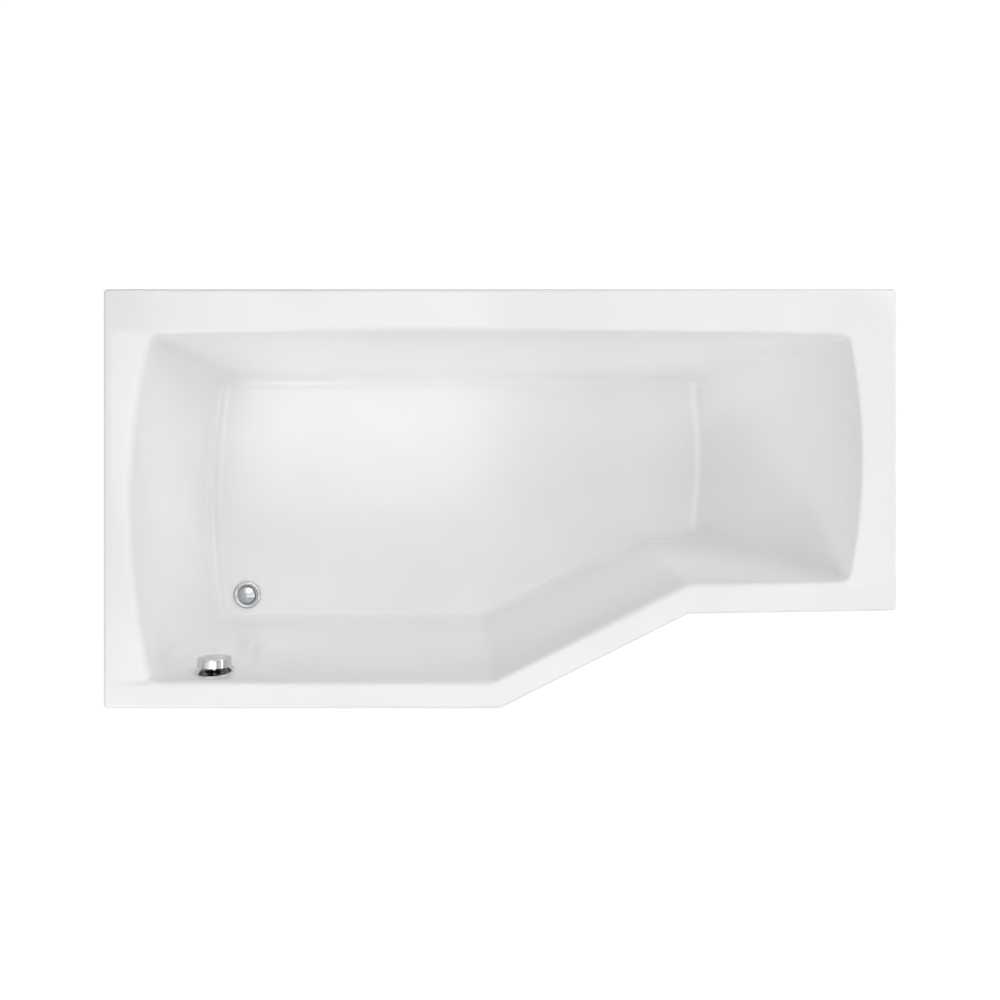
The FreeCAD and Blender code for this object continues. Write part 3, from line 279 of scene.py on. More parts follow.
# moulded skin: slow colour drift and a fine eroded grain, drawn coarse to show
def mouldedPlastic(name, look):
    material, tree, surface, place = startMaterial(name, {"IOR": look["ior"]})
    drift = addNode(tree, "ShaderNodeTexNoise", {"Vector": place, "Scale": perMetre(look["driftMm"]),
                                                 "Detail": mouldedSkin["driftDetail"]})
    tint = addNode(tree, "ShaderNodeValToRGB", {"Fac": drift.outputs["Fac"]},
                   stops=[(noiseLow, look["dark"]), (noiseHigh, look["light"])])
    tree.links.new(tint.outputs["Color"], surface.inputs["Base Color"])
    grain = addNode(tree, "ShaderNodeTexNoise", {"Vector": place, "Scale": perMetre(look["grainMm"])})
    gloss = addNode(tree, "ShaderNodeMapRange", {
        "Value": grain.outputs["Fac"], "From Min": noiseLow, "From Max": noiseHigh,
        "To Min": look["smooth"], "To Max": look["rough"]})
    tree.links.new(gloss.outputs["Result"], surface.inputs["Roughness"])
    raised = addNode(tree, "ShaderNodeBump", {"Height": grain.outputs["Fac"], "Strength": mouldedSkin["bump"],
                                              "Distance": look["grainDepthMm"] * mm})
    tree.links.new(raised.outputs["Normal"], surface.inputs["Normal"])
    return material


# white polypropylene of waste fittings: milky and waxy
whitePlastic = mouldedPlastic("whitePolypropylene", {
    "ior": 1.49, "driftMm": 40, "dark": "#DCDCD6", "light": "#E8E8E3",
    "grainMm": 1.2, "grainDepthMm": 0.05, "smooth": 0.36, "rough": 0.48})
# grey polypropylene: mid grey, waxy
greyPlastic = mouldedPlastic("greyPolypropylene", {
    "ior": 1.49, "driftMm": 30, "dark": "#7B8085", "light": "#8C9195",
    "grainMm": 1.2, "grainDepthMm": 0.05, "smooth": 0.38, "rough": 0.5})
# black polyethylene of the foot pads: dark, scuffed dull
footPlastic = mouldedPlastic("blackPolyethylene", {
    "ior": 1.51, "driftMm": 14, "dark": "#1D1F22", "light": "#303336",
    "grainMm": 1.6, "grainDepthMm": 0.08, "smooth": 0.42, "rough": 0.62})
# nitrile rubber: near black, matt
rubber = mouldedPlastic("nitrileRubber", {
    "ior": 1.52, "driftMm": 12, "dark": "#161718", "light": "#242526",
    "grainMm": 1.0, "grainDepthMm": 0.06, "smooth": 0.62, "rough": 0.8})

finishes = {
    "sanitary_acrylic": acrylic, "glass_fibre": glassFibre, "chipboard": chipboard,
    "batten_wood": planedSpruce("planedSpruceAlong", 0.0), "galvanised_steel": galvanised,
    "zinc_plated_steel": zinc, "chrome_plate": chrome, "white_polypropylene": whitePlastic,
    "grey_polypropylene": greyPlastic, "foot_plastic": footPlastic, "seal_rubber": rubber,
    "stem_brass": brass,
}
crossSpruce = planedSpruce("planedSpruceAcross", math.pi / 2)
# the drain's flange and plug take the greyer chrome with painted shade
ownFinishes = {"rim_batten_foot_end": crossSpruce, "rim_batten_backrest_end": crossSpruce,
               "drain_flange": shadedDrainChrome, "drain_plug": shadedDrainChrome,
               "overflow_shaft": chrome}  # plated where it shows under the knob
nodeSlots = {part["node"]: part["material_slot"] for part in frame["record"]["subparts"]}
print("materials made:", len({*finishes.values(), *ownFinishes.values()}))


# loose CAD triangles are welded and shaded round, with edges kept sharp above an angle
weldSet = {"Weld distance": 0.00001, "Sharp above": math.radians(28)}
weldTree, sizes = newTree("weldAndShade", {"Weld distance": "Float", "Sharp above": "Float"})
welded = addNode(weldTree, "GeometryNodeMergeByDistance", {"Geometry": sizes["Geometry"],
                                                           "Distance": sizes["Weld distance"]})
rounded = addNode(weldTree, "GeometryNodeSetShadeSmooth", {0: welded.outputs["Geometry"], 2: True},
                  domain="FACE")
corner = addNode(weldTree, "GeometryNodeInputMeshEdgeAngle")
sharp = addNode(weldTree, "FunctionNodeCompare", {0: corner.outputs["Unsigned Angle"],
                                                  1: sizes["Sharp above"]},
                data_type="FLOAT", operation="GREATER_THAN")
creased = addNode(weldTree, "GeometryNodeSetShadeSmooth", {0: rounded.outputs[0], 1: sharp.outputs["Result"],
                                                           2: False}, domain="EDGE")
addNode(weldTree, "NodeGroupOutput", {"Geometry": creased.outputs[0]})
for name, node in frame["nodes"].items():
    node.data.materials.clear()
    node.data.materials.append(ownFinishes.get(name, finishes[nodeSlots[name]]))
    useTree(node, weldTree, weldSet)
print("CAD nodes dressed")


# the tub in mm: corners and edges run front, slant, narrow front, backrest end, back, foot end
tub = {
    "length": 1700, "width": 900, "frontStep": 210, "narrowFlare": 7, "narrowFront": 446, "slantRun": 404,
    "outerRadii": (10, 14, 30, 10, 10, 10), "outerRoll": 8, "lipHeight": 38, "sheet": 4.2, "rimHeight": 580,
    "rimWidths": (60, 60, 64, 101, 98, 100), "rimBows": (0, 0, 0, 26, 8, 41),
    "rimRadii": (18, 40, 40, 18, 18, 18), "rimRolls": (15, 14, 12, 12, 12, 14),
    "leans": (72, 80, 76, 245, 38, 26), "floorHeight": 160, "floorBows": (0, 0, 0, 20, 0, 22),
    "floorRadii": (45, 50, 60, 45, 45, 45), "floorRolls": (35, 35, 35, 58, 35, 35),
    "floorSpine": ((-470, 20), (330, 110)), "spineShares": (0.1, 0.4, 0.7, 1.0), "inwardRun": 100,
    "endsFrom": 500, "endFall": 6, "fallStart": 19, "fallReach": 112, "fallLimit": 448,
    "stepBack": 100, "stepFront": 62, "stepWidth": 13.5,
    "drain": (-654, -248), "drainHole": 26, "overflow": (-629, 60), "overflowHole": 24, "cutLength": 30,
    # parts of the skin, and how near lines of points lie to the rolls that they hold
    "cornerParts": 12, "edgeParts": 40, "rollParts": 10, "wallParts": 12, "outerParts": 8, "deckParts": 4,
    "holeSides": 96, "flatShare": 0.9, "rimHold": 1.5, "floorHold": 2, "cornerHold": 1,
    "deckSteps": (0, 1.5, 8.5, 11, 13.5), "mergeGap": 0.02, "thinnest": 0.01, "sharpDegrees": 40,
}
edgeCount = len(tub["rimWidths"])
endEdges = (3, 5)
lateCorners = tuple((edge + 1) % edgeCount for edge in endEdges)
endCorners = endEdges + lateCorners
stepLines = {-1: (tub["stepFront"] - tub["width"] / 2, tub["width"] / 2 - tub["stepBack"]),
             1: (tub["frontStep"] - tub["width"] / 2 + tub["stepFront"], tub["width"] / 2 - tub["stepBack"])}


def leftOf(way):
    return Vector((-way.y, way.x))


def turned(way, angle):
    across, up = math.cos(angle), math.sin(angle)
    return Vector((way.x * across - way.y * up, way.x * up + way.y * across))


def crossOf(first, second):
    return first.x * second.y - first.y * second.x


def inset(corners, distances):  # each edge moved inwards by its own distance
    lines = []
    for index, corner in enumerate(corners):
        way = (corners[(index + 1) % len(corners)] - corner).normalized()
        lines.append((corner + leftOf(way) * distances[index], way))
    moved = []
    for index in range(len(corners)):
        start, way = lines[index - 1]
        other, otherWay = lines[index]
        moved.append(start + way * (crossOf(other - start, otherWay) / crossOf(way, otherWay)))
    return moved


def cornerArc(corner, arriving, leaving, radius, parts):  # points with the way inwards at each
    bend = math.atan2(crossOf(arriving, leaving), arriving.dot(leaving))
    arrival = corner - arriving * radius * math.tan(abs(bend) / 2)
    centre = arrival + leftOf(arriving) * math.copysign(radius, bend)
    angles = [bend * part / parts for part in range(parts + 1)]
    return [(centre + turned(arrival - centre, angle), leftOf(turned(arriving, angle))) for angle in angles]


def roundedRing(corners, radii, bows):  # one entry for each corner and each edge, in turn
    starts, ends = [], []
    for index, corner in enumerate(corners):
        chord = corners[(index + 1) % edgeCount] - corner
        angle = math.atan(4 * bows[index] / chord.length)
        starts.append(turned(chord.normalized(), -angle))
        ends.append(turned(chord.normalized(), angle))
    arcs = [cornerArc(corner, ends[index - 1], starts[index], radii[index], tub["cornerParts"])
            for index, corner in enumerate(corners)]
    ring = []
    for index in range(edgeCount):
        begin, finish = arcs[index][-1][0], arcs[(index + 1) % edgeCount][0][0]
        span = finish - begin
        handle = span.length / 3 / starts[index].dot(span.normalized())
        second, third = begin + starts[index] * handle, finish - ends[index] * handle
        edge = []
        for part in range(tub["edgeParts"] + 1):
            share = part / tub["edgeParts"]
            rest = 1 - share
            point = (begin * rest ** 3 + second * 3 * rest ** 2 * share + third * 3 * rest * share ** 2
                     + finish * share ** 3)
            way = ((second - begin) * rest ** 2 + (third - second) * 2 * rest * share
                   + (finish - third) * share ** 2)
            edge.append((point, leftOf(way.normalized())))
        ring.append(arcs[index])
        ring.append(edge)
    return ring


def rimFall(x, y):  # how far the end rims lie below the long rims at a place
    fromEnd = tub["length"] / 2 - abs(x)
    if fromEnd > tub["fallLimit"]:
        return 0
    front, back = stepLines[1 if x > 0 else -1]
    inside = min((y - front) / tub["stepWidth"] + 1, (back - y) / tub["stepWidth"] + 1)
    inside = min(max(inside, 0), 1)
    slope = (fromEnd - tub["fallStart"]) / (tub["fallReach"] - tub["fallStart"])
    return tub["endFall"] * max(slope, 0) * inside * inside * (3 - 2 * inside)


def bendPoints(before, corner, after, radius, parts):  # arc of a radius where two straight runs meet
    arriving = (corner - before).normalized()
    leaving = (after - corner).normalized()
    bend = arriving.angle(leaving)
    reach = radius * math.tan(bend / 2)
    aside = (leaving - arriving * arriving.dot(leaving)).normalized()
    start = corner - arriving * reach
    angles = [bend * part / parts for part in range(parts + 1)]
    return [start + (arriving * math.sin(angle) + aside * (1 - math.cos(angle))) * radius for angle in angles]


# from the flat rim over its roll, down the wall and over the floor's roll to the floor's middle
def tubSection(rimPoint, rimWay, floorPoint, floorWay, roll, floorRoll):
    rim, floor = tub["rimHeight"], tub["floorHeight"]
    inwards = Vector((floorWay.x, floorWay.y, 0))
    flat = rimPoint - rimWay * (roll * tub["flatShare"] + tub["rimHold"])
    fall = rimFall(rimPoint.x, flat.y) if abs(rimPoint.x) > tub["endsFrom"] else 0
    top = Vector((rimPoint.x, rimPoint.y, rim - fall))
    start = Vector((flat.x, flat.y, rim - rimFall(flat.x, flat.y)))
    bottom = Vector((floorPoint.x, floorPoint.y, floor))
    inner = bottom + inwards * tub["inwardRun"]
    rimArc = bendPoints(start, top, bottom, roll, tub["rollParts"])
    floorArc = bendPoints(top, bottom, inner, floorRoll, tub["rollParts"])
    wall = floorArc[0] - rimArc[-1]
    shares = [part / tub["wallParts"] for part in range(1, tub["wallParts"])]
    shares = [tub["rimHold"] / wall.length, *shares, 1 - tub["floorHold"] / wall.length]
    points = [start] + rimArc + [rimArc[-1] + wall * share for share in shares] + floorArc
    points.append(floorArc[-1] + inwards * tub["floorHold"])
    spineStart, spineEnd = [Vector((*end, floor)) for end in tub["floorSpine"]]
    spine = spineEnd - spineStart
    along = min(max((points[-1] - spineStart).dot(spine) / spine.length_squared, 0), 1)
    middle = spineStart + spine * along
    return points + [points[-1].lerp(middle, share) for share in tub["spineShares"]]


def lipColumn(edgePoint, edgeWay):  # from the lip's lower edge up and over the outer edge
    roll, rim, hold = tub["outerRoll"], tub["rimHeight"], tub["rimHold"]
    foot = rim - tub["lipHeight"]
    column = [(edgePoint, height) for height in (foot, foot + hold, rim - roll - hold)]
    for part in range(tub["outerParts"] + 1):
        angle = part / tub["outerParts"] * math.pi / 2
        point = edgePoint + edgeWay * roll * (1 - math.cos(angle))
        column.append((point, rim - roll + roll * math.sin(angle)))
    return [Vector((point.x, point.y, height)) for point, height in column]


def deckRay(outer, inner):  # across the rim from its outer roll to its inner roll
    way = inner - outer
    way.z = 0
    shares = [distance / way.length for distance in tub["deckSteps"]]
    last = shares[-1]
    shares += [last + (1 - last) * part / tub["deckParts"] for part in range(1, tub["deckParts"])]
    points = []
    for share in shares:
        point = outer + way * share
        points.append(Vector((point.x, point.y, tub["rimHeight"] - rimFall(point.x, point.y))))
    return points + [inner]


def tubMesh():
    halfLength, halfWidth = tub["length"] / 2, tub["width"] / 2
    waist = halfLength - tub["narrowFront"]
    narrow = tub["frontStep"] - halfWidth
    outer = [Vector(point) for point in (
        (-halfLength, -halfWidth), (waist - tub["slantRun"], -halfWidth),
        (waist, narrow - tub["narrowFlare"]), (halfLength, narrow),
        (halfLength, halfWidth), (-halfLength, halfWidth))]
    rimCorners = inset(outer, tub["rimWidths"])
    floorCorners = inset(rimCorners, tub["leans"])
    rimRing = roundedRing(rimCorners, tub["rimRadii"], tub["rimBows"])
    floorRing = roundedRing(floorCorners, tub["floorRadii"], tub["floorBows"])
    edgeWays = [(outer[(index + 1) % edgeCount] - outer[index]).normalized() for index in range(edgeCount)]
    outerArcs = [cornerArc(outer[index], edgeWays[index - 1], edgeWays[index], tub["outerRadii"][index],
                           tub["outerParts"]) for index in range(edgeCount)]
    groups = []  # sections of each corner and edge in turn
    for place in range(2 * edgeCount):
        index = place // 2
        before, after = [Vector((tub["rimRolls"][side], tub["floorRolls"][side]))
                         for side in (index - 1, index)]
        sections = []
        for part, (rimEntry, floorEntry) in enumerate(zip(rimRing[place], floorRing[place])):
            rolls = before.lerp(after, part / tub["cornerParts"]) if place % 2 == 0 else after
            sections.append(tubSection(*rimEntry, *floorEntry, *rolls))
        groups.append(sections)

    # where a place on the rim looks square onto an outer edge, short of its corners
    def edgeFoot(index, point):
        following = (index + 1) % edgeCount
        start, end = outer[index], outer[following]
        reach = (point.xy - start).dot(edgeWays[index])
        low = (outerArcs[index][-1][0] - start).length + tub["cornerHold"]
        high = (end - start).length - (outerArcs[following][0][0] - end).length - tub["cornerHold"]
        return start + edgeWays[index] * min(max(reach, low), high)

    columns, rays, patches = [], [], []

    def levelCorner(index):  # the lip round a corner at an end, and the patch of flat rim inside it
        corner = [lipColumn(*entry) for entry in outerArcs[index]]
        patches.append((len(columns) - 1, len(columns) + len(corner), len(rays) - 1, len(rays)))
        columns.extend(corner)

    for place, sections in enumerate(groups):
        index = place // 2
        atCorner = place % 2 == 0
        if atCorner and index not in endCorners:  # slant's corners: along the edge, round and along again
            first, last = edgeFoot(index - 1, sections[0][0]), edgeFoot(index, sections[-1][0])
            arc = outerArcs[index]
            feet = [(first.lerp(arc[0][0], part / 2), arc[0][1]) for part in range(2)] + arc
            feet += [(arc[-1][0].lerp(last, part / 2), arc[-1][1]) for part in range(1, 3)]
        else:
            side = index - 1 if atCorner and index not in endEdges else index
            feet = []
            for section in sections:
                start = section[0]
                if side in endEdges:
                    feet.append((Vector((math.copysign(halfLength, start.x), start.y)),
                                 Vector((-math.copysign(1, start.x), 0))))
                else:
                    feet.append((edgeFoot(side, start), leftOf(edgeWays[side])))
        if atCorner and index in endEdges:  # level corner comes before the end rim
            levelCorner(index)
        for section, foot in zip(sections, feet):
            columns.append(lipColumn(*foot))
            rays.append((len(columns) - 1, deckRay(columns[-1][-1], section[0]), section))
        if atCorner and index in lateCorners:  # and after it
            levelCorner(index)

    shape = bmesh.new()
    lipVerts = [[shape.verts.new(point * mm) for point in column] for column in columns]
    rayVerts = [[lipVerts[column][-1]] + [shape.verts.new(point * mm) for point in ray[1:-1] + section]
                for column, ray, section in rays]

    def skin(first, second):
        for low in range(len(first) - 1):
            shape.faces.new((first[low], second[low], second[low + 1], first[low + 1]))

    for number, column in enumerate(lipVerts):
        skin(column, lipVerts[(number + 1) % len(lipVerts)])
    deckCount = len(rays[0][1])
    cornerGaps = {firstRay for _, _, firstRay, _ in patches}
    for number, ray in enumerate(rayVerts):
        begin = deckCount - 1 if number in cornerGaps else 0
        skin(ray[begin:], rayVerts[(number + 1) % len(rayVerts)][begin:])
    for firstColumn, lastColumn, firstRay, secondRay in patches:
        edge = [lipVerts[number][-1] for number in range(firstColumn + 1, lastColumn)]
        shape.faces.new(rayVerts[firstRay][:deckCount][::-1] + edge + rayVerts[secondRay][:deckCount - 1])
    bmesh.ops.remove_doubles(shape, verts=shape.verts, dist=tub["mergeGap"] * mm)
    bmesh.ops.dissolve_degenerate(shape, edges=shape.edges, dist=tub["thinnest"] * mm)
    mesh = bpy.data.meshes.new("tubSkin")
    shape.to_mesh(mesh)
    shape.free()
    return mesh


def roundCutter(name, centre, way, radius):
    shape = bmesh.new()
    bmesh.ops.create_cone(shape, cap_ends=True, segments=tub["holeSides"], radius1=radius, radius2=radius,
                          depth=tub["cutLength"] * mm)
    turn = Vector((0, 0, 1)).rotation_difference(way).to_matrix()
    bmesh.ops.rotate(shape, verts=shape.verts, matrix=turn)
    bmesh.ops.translate(shape, verts=shape.verts, vec=centre)
    mesh = bpy.data.meshes.new(name)
    shape.to_mesh(mesh)
    shape.free()
    return newObject(name, mesh)


tubSkin = newObject("tubSkin", tubMesh())
wallLean = tub["leans"][0] / (tub["rimHeight"] - tub["floorHeight"])
overflowX, overflowDrop = tub["overflow"]
overflowPlace = Vector((overflowX, tub["rimWidths"][0] - tub["width"] / 2 + wallLean * overflowDrop,
                        tub["rimHeight"] - overflowDrop)) * mm
drainPlace = Vector((*tub["drain"], tub["floorHeight"])) * mm
cutters = [roundCutter("drainCut", drainPlace, Vector((0, 0, 1)), tub["drainHole"] * mm),
           roundCutter("overflowCut", overflowPlace, Vector((0, 1, wallLean)).normalized(),
                       tub["overflowHole"] * mm)]
thick = tubSkin.modifiers.new("sheet", "SOLIDIFY")
thick.thickness = tub["sheet"] * mm
thick.offset = -1
for cutter in cutters:
    hole = tubSkin.modifiers.new(cutter.name, "BOOLEAN")
    hole.object = cutter
    hole.solver = "EXACT"
flatten(tubSkin)
for cutter in cutters:
    bpy.data.objects.remove(cutter)
tubSkin.data.shade_smooth()
tubSkin.data.set_sharp_from_angle(angle=math.radians(tub["sharpDegrees"]))
tubSkin.data.materials.clear()
tubSkin.data.materials.append(acrylic)
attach(tubSkin, "tub")
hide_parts("tub_shell")
print("tub:", len(tubSkin.data.polygons), "faces")


# foot spindles in mm: a rolled thread above the CAD's ball, neck and drive hexagon
spindle = {"feet": 4, "pitch": 1.5, "root": 4.25, "crest": 4.97, "sides": 20, "ringsPerTurn": 4,
           "hexTop": 30.0, "overlap": 2.0, "cutAbove": 0.3}
halfTurn = 0.5  # the thread rises from root to crest over half a turn
threadTree, sizes = newTree("rolledThread", {
    "Pitch": "Float", "Root radius": "Float", "Crest radius": "Float", "Length": "Float", "Sides": "Int",
    "Rings": "Int", "Middle": "Vector", "Finish": "Material"})
rod = addNode(threadTree, "GeometryNodeMeshCylinder", {
    "Vertices": sizes["Sides"], "Side Segments": sizes["Rings"], "Radius": sizes["Root radius"],
    "Depth": sizes["Length"]})
spot = addNode(threadTree, "GeometryNodeInputPosition").outputs["Position"]
axes = addNode(threadTree, "ShaderNodeSeparateXYZ", {"Vector": spot}).outputs
angle = addNode(threadTree, "ShaderNodeMath", {0: axes["Y"], 1: axes["X"]}, operation="ARCTAN2")
turns = addNode(threadTree, "ShaderNodeMath", {0: angle.outputs["Value"], 1: 2 * math.pi}, operation="DIVIDE")
climb = addNode(threadTree, "ShaderNodeMath", {0: axes["Z"], 1: sizes["Pitch"]}, operation="DIVIDE")
phase = addNode(threadTree, "ShaderNodeMath", {0: climb.outputs["Value"], 1: turns.outputs["Value"]},
                operation="SUBTRACT")
tooth = addNode(threadTree, "ShaderNodeMath", {0: phase.outputs["Value"], 1: halfTurn}, operation="PINGPONG")
reach = addNode(threadTree, "ShaderNodeMapRange", {
    "Value": tooth.outputs["Value"], "From Max": halfTurn, "To Min": sizes["Root radius"],
    "To Max": sizes["Crest radius"]})
level = addNode(threadTree, "ShaderNodeVectorMath", {0: spot, 1: (1.0, 1.0, 0.0)}, operation="MULTIPLY")
outward = addNode(threadTree, "ShaderNodeVectorMath", {0: level.outputs["Vector"]}, operation="NORMALIZE")
radial = addNode(threadTree, "ShaderNodeVectorMath", {0: outward.outputs["Vector"],
                                                      "Scale": reach.outputs["Result"]}, operation="SCALE")
height = addNode(threadTree, "ShaderNodeCombineXYZ", {"Z": axes["Z"]})
wound = addNode(threadTree, "ShaderNodeVectorMath", {0: radial.outputs["Vector"],
                                                     1: height.outputs["Vector"]}, operation="ADD")
threaded = addNode(threadTree, "GeometryNodeSetPosition", {"Geometry": rod.outputs["Mesh"],
                                                           "Position": wound.outputs["Vector"]})
moved = addNode(threadTree, "GeometryNodeTransform", {"Geometry": threaded.outputs["Geometry"],
                                                      "Translation": sizes["Middle"]})
real = addNode(threadTree, "GeometryNodeRealizeInstances", {"Geometry": moved.outputs["Geometry"]})
coated = addNode(threadTree, "GeometryNodeSetMaterial", {"Geometry": real.outputs["Geometry"],
                                                         "Material": sizes["Finish"]})
addNode(threadTree, "NodeGroupOutput", {"Geometry": coated.outputs["Geometry"]})
for number in range(1, spindle["feet"] + 1):
    nodeName = "foot_spindle_%d" % number
    low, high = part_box(nodeName)
    hexTop = low.z + spindle["hexTop"] * mm
    threadFoot = hexTop - spindle["overlap"] * mm
    threadLength = high.z - threadFoot
    footSpindle = newObject("threadedSpindle%d" % number, bpy.data.meshes.new("thread"))
    useTree(footSpindle, threadTree, {
        "Pitch": spindle["pitch"] * mm, "Root radius": spindle["root"] * mm,
        "Crest radius": spindle["crest"] * mm, "Length": threadLength, "Sides": spindle["sides"],
        "Rings": round(threadLength / (spindle["pitch"] * mm) * spindle["ringsPerTurn"]),
        "Middle": ((low.x + high.x) / 2, (low.y + high.y) / 2, threadFoot + threadLength / 2),
        "Finish": zinc})
    flatten(footSpindle)
    shape = bmesh.new()
    shape.from_mesh(frame["nodes"][nodeName].data)
    bmesh.ops.remove_doubles(shape, verts=shape.verts, dist=weldSet["Weld distance"])
    bmesh.ops.bisect_plane(shape, geom=shape.verts[:] + shape.edges[:] + shape.faces[:],
                           plane_co=(0, 0, hexTop + spindle["cutAbove"] * mm), plane_no=(0, 0, 1),
                           clear_outer=True)
    bmesh.ops.holes_fill(shape, edges=shape.edges)
    shape.from_mesh(footSpindle.data)
    shape.to_mesh(footSpindle.data)
    shape.free()
    footSpindle.data.shade_smooth()
    footSpindle.data.set_sharp_from_angle(angle=weldSet["Sharp above"])
    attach(footSpindle, nodeName)
    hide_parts(nodeName)
print("spindles threaded")


# screws of the leg bars in mm: pan heads with a cross recess, looking down
barScrew = {"head": 5.0, "crown": 3.3, "height": 3.5, "headSides": 32, "recess": (5.6, 1.1, 1.8),
            "shank": 2.5, "length": 14.0, "shankSides": 20}
screwTree, sizes = newTree("panHeadScrews", {
    "Head radius": "Float", "Crown radius": "Float", "Head height": "Float", "Head sides": "Int",
    "Shank radius": "Float", "Shank length": "Float", "Shank sides": "Int", "Recess": "Vector",
    "Finish": "Material"})
cone = addNode(screwTree, "GeometryNodeMeshCone", {
    "Vertices": sizes["Head sides"], "Radius Top": sizes["Head radius"],
    "Radius Bottom": sizes["Crown radius"], "Depth": sizes["Head height"]})
dropped = addNode(screwTree, "ShaderNodeCombineXYZ", {"Z": sizes["Head height"]})
sunk = addNode(screwTree, "ShaderNodeVectorMath", {0: dropped.outputs["Vector"], "Scale": -1.0},
               operation="SCALE")
head = addNode(screwTree, "GeometryNodeTransform", {"Geometry": cone.outputs["Mesh"],
                                                    "Translation": sunk.outputs["Vector"]})
slotBlock = addNode(screwTree, "GeometryNodeMeshCube", {"Size": sizes["Recess"]})
slotOne = addNode(screwTree, "GeometryNodeTransform", {"Geometry": slotBlock.outputs["Mesh"],
                                                       "Translation": sunk.outputs["Vector"]})
slotTwo = addNode(screwTree, "GeometryNodeTransform", {"Geometry": slotOne.outputs["Geometry"],
                                                       "Rotation": (0.0, 0.0, math.pi / 2)})
recessed = addNode(screwTree, "GeometryNodeMeshBoolean", {"Mesh 1": head.outputs["Geometry"],
                                                          "Mesh 2": slotOne.outputs["Geometry"]},
                   operation="DIFFERENCE")
screwTree.links.new(slotTwo.outputs["Geometry"], recessed.inputs["Mesh 2"])
halfShank = addNode(screwTree, "ShaderNodeMath", {0: sizes["Shank length"], 1: 0.5}, operation="MULTIPLY")
shankUp = addNode(screwTree, "ShaderNodeCombineXYZ", {"Z": halfShank.outputs["Value"]})
shank = addNode(screwTree, "GeometryNodeMeshCylinder", {
    "Vertices": sizes["Shank sides"], "Radius": sizes["Shank radius"], "Depth": sizes["Shank length"]})
shankSet = addNode(screwTree, "GeometryNodeTransform", {"Geometry": shank.outputs["Mesh"],
                                                        "Translation": shankUp.outputs["Vector"]})
screw = addNode(screwTree, "GeometryNodeJoinGeometry", {"Geometry": recessed.outputs["Mesh"]})
screwTree.links.new(shankSet.outputs["Geometry"], screw.inputs["Geometry"])
placed = addNode(screwTree, "GeometryNodeInstanceOnPoints", {"Points": sizes["Geometry"],
                                                             "Instance": screw.outputs["Geometry"]})
real = addNode(screwTree, "GeometryNodeRealizeInstances", {"Geometry": placed.outputs["Instances"]})
coated = addNode(screwTree, "GeometryNodeSetMaterial", {"Geometry": real.outputs["Geometry"],
                                                        "Material": sizes["Finish"]})
addNode(screwTree, "NodeGroupOutput", {"Geometry": coated.outputs["Geometry"]})
screwPlaces = []
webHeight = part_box("leg_bar_screws")[0].z + barScrew["height"] * mm
cadScrews = frame["nodes"]["leg_bar_screws"].data
for bar in ("leg_bar_foot_end", "leg_bar_backrest_end"):
    low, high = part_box(bar)
    across = [vertex.co.y for vertex in cadScrews.vertices if low.x < vertex.co.x < high.x]
    first, last = min(across) + barScrew["head"] * mm, max(across) - barScrew["head"] * mm
    screwPlaces += [((low.x + high.x) / 2, y, webHeight) for y in (first, (first + last) / 2, last)]
screwMesh = bpy.data.meshes.new("barScrewPlaces")
screwMesh.from_pydata(screwPlaces, [], [])
barScrews = newObject("panHeadScrews", screwMesh)
useTree(barScrews, screwTree, {
    "Head radius": barScrew["head"] * mm, "Crown radius": barScrew["crown"] * mm,
    "Head height": barScrew["height"] * mm, "Head sides": barScrew["headSides"],
    "Shank radius": barScrew["shank"] * mm, "Shank length": barScrew["length"] * mm,
    "Shank sides": barScrew["shankSides"], "Recess": [size * mm for size in barScrew["recess"]],
    "Finish": zinc})
flatten(barScrews)
barScrews.data.shade_smooth()
barScrews.data.set_sharp_from_angle(angle=weldSet["Sharp above"])
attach(barScrews, "tub")
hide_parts("leg_bar_screws")
print("leg bar screws:", len(screwPlaces))


# plain studio: a pale floor that keeps the shadow, white surroundings and soft boxes
studio = {"floorSize": 14.0, "floorLevel": -0.0004, "floorShade": "#EDEDED", "floorDiffuse": "#8A8A8A",
          "floorGlow": 0.9, "shadowReach": 1.2, "ambient": 0.05,
          "mirrorLeft": 0.62, "mirrorRight": 0.42, "mirrorTurn": 0.4}
white = hexColour("#FFFFFF")
half = studio["floorSize"] / 2
floorMesh = bpy.data.meshes.new("studioFloor")
floorMesh.from_pydata([(x, y, studio["floorLevel"]) for x, y in (
    (-half, -half), (half, -half), (half, half), (-half, half))], [], [(0, 1, 2, 3)])
studioFloor = newObject("studioFloor", floorMesh)
floorPaint = bpy.data.materials.new("paleStudioFloor")
floorPaint.use_nodes = True
tree = floorPaint.node_tree
tree.nodes.clear()
lightPath = addNode(tree, "ShaderNodeLightPath").outputs
seen = addNode(tree, "ShaderNodeMath", {0: lightPath["Is Camera Ray"], 1: lightPath["Is Glossy Ray"]},
               operation="MAXIMUM")
seen = addNode(tree, "ShaderNodeMath", {0: seen.outputs["Value"], 1: lightPath["Is Transmission Ray"]},
               operation="MAXIMUM")
paint = addNode(tree, "ShaderNodeBsdfDiffuse", {"Color": hexColour(studio["floorShade"])})
spot = addNode(tree, "ShaderNodeTexCoord").outputs["Object"]
away = addNode(tree, "ShaderNodeVectorMath", {0: spot}, operation="LENGTH").outputs["Value"]
fading = addNode(tree, "ShaderNodeMapRange", {  # white far out, so that no edge shows at the horizon
    "Value": away, "From Min": studio["shadowReach"], "From Max": half, "To Min": studio["floorGlow"],
    "To Max": 1.0})
glow = addNode(tree, "ShaderNodeEmission", {"Color": white, "Strength": fading.outputs["Result"]})
shadow = addNode(tree, "ShaderNodeBsdfDiffuse", {"Color": hexColour(studio["floorDiffuse"])})
shaded = addNode(tree, "ShaderNodeAddShader", {0: glow.outputs["Emission"], 1: shadow.outputs["BSDF"]})
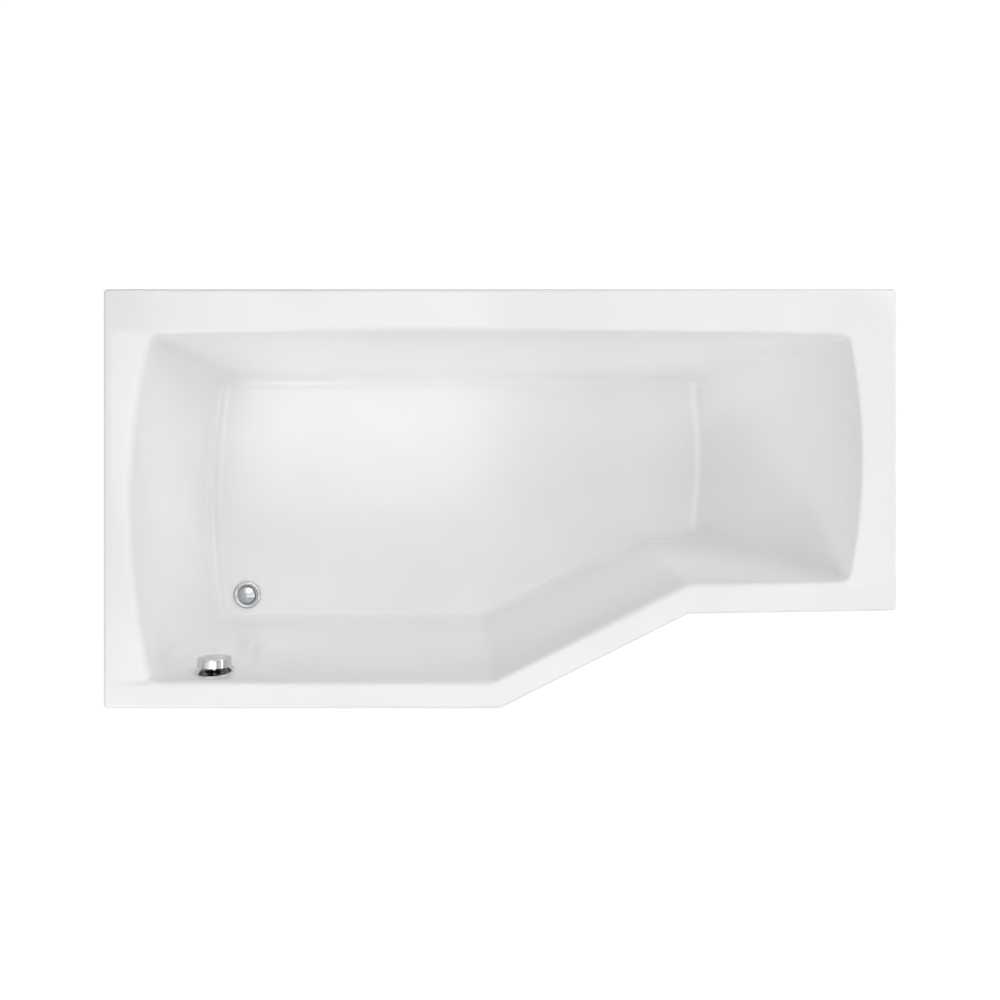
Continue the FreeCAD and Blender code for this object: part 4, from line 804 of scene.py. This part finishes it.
shown = addNode(tree, "ShaderNodeMixShader", {0: seen.outputs["Value"], 1: paint.outputs["BSDF"],
                                              2: shaded.outputs["Shader"]})
clear = addNode(tree, "ShaderNodeBsdfTransparent")
under = addNode(tree, "ShaderNodeNewGeometry").outputs["Backfacing"]  # from below one looks through the floor
sided = addNode(tree, "ShaderNodeMixShader", {0: under, 1: shown.outputs["Shader"], 2: clear.outputs["BSDF"]})
addNode(tree, "ShaderNodeOutputMaterial", {"Surface": sided.outputs["Shader"]})
floorMesh.materials.append(floorPaint)

# surroundings: white to the eye, a weak fill for light, and a room that darkens to the right for mirrors
world = bpy.data.worlds.new("studioSurround")
bpy.context.scene.world = world
world.use_nodes = True
tree = world.node_tree
tree.nodes.clear()
lightPath = addNode(tree, "ShaderNodeLightPath").outputs
seen = addNode(tree, "ShaderNodeMath", {0: lightPath["Is Camera Ray"], 1: lightPath["Is Transmission Ray"]},
               operation="MAXIMUM")
way = addNode(tree, "ShaderNodeTexCoord").outputs["Generated"]
side = addNode(tree, "ShaderNodeSeparateXYZ", {"Vector": way}).outputs["X"]
shade = addNode(tree, "ShaderNodeMapRange", {
    "Value": side, "From Min": -studio["mirrorTurn"], "From Max": studio["mirrorTurn"],
    "To Min": studio["mirrorLeft"], "To Max": studio["mirrorRight"]})
ambient = addNode(tree, "ShaderNodeBackground", {"Color": white, "Strength": studio["ambient"]})
mirrored = addNode(tree, "ShaderNodeBackground", {"Color": white, "Strength": shade.outputs["Result"]})
backdrop = addNode(tree, "ShaderNodeBackground", {"Color": white, "Strength": 1.0})
glossed = addNode(tree, "ShaderNodeMixShader", {
    0: lightPath["Is Glossy Ray"], 1: ambient.outputs["Background"], 2: mirrored.outputs["Background"]})
shown = addNode(tree, "ShaderNodeMixShader", {0: seen.outputs["Value"], 1: glossed.outputs["Shader"],
                                              2: backdrop.outputs["Background"]})
addNode(tree, "ShaderNodeOutputWorld", {"Surface": shown.outputs["Shader"]})

tubMiddle = (0.0, 0.0, 0.4)
lamps = {  # place, aim, width, height, watts
    "rightBox": ((3.0, 0.0, 1.9), tubMiddle, 2.6, 0.5, 20.5),  # thin light line along the foot end's edges
    "frontBox": ((0.0, -2.6, 2.3), tubMiddle, 3.0, 0.6, 13.5),  # and along the floor's back edge
    "backBox": ((0.0, 2.6, 1.9), tubMiddle, 2.6, 1.2, 7),
    "rightBackBox": ((2.12, 2.12, 2.6), tubMiddle, 2.8, 2.2, 36),
    "leftBackBox": ((-2.12, 2.12, 2.6), tubMiddle, 1.2, 0.6, 7),
    "leftFrontBox": ((-2.12, -2.12, 2.6), tubMiddle, 2.6, 2.2, 38.5),
    "rightFrontBox": ((2.12, -2.12, 2.6), tubMiddle, 2.8, 2.2, 21),
    "overheadBox": ((-0.95, 0.7, 3.4), (-0.95, 0.7, 0.4), 1.8, 1.5, 11.5),  # glow on the floor's back left
    "topBox": ((0.1, 0.1, 4.6), (0.1, 0.1, 0.4), 3.8, 2.8, 23),
    "windowBox": ((-0.6, -0.95, 3.3), (-0.6, -0.95, 0.4), 3.0, 0.7, 6),  # white patch on the knob's side
}
for name, (spot, aim, width, height, watts) in lamps.items():
    light = bpy.data.lights.new(name, "AREA")
    light.shape = "RECTANGLE"
    light.size = width
    light.size_y = height
    light.energy = watts
    lamp = newObject(name, light)
    lamp.location = spot
    lamp.rotation_euler = (Vector(aim) - Vector(spot)).to_track_quat("-Z", "Y").to_euler()
bpy.context.scene.view_settings.view_transform = "Standard"
print("studio lit:", len(lamps), "lamps")
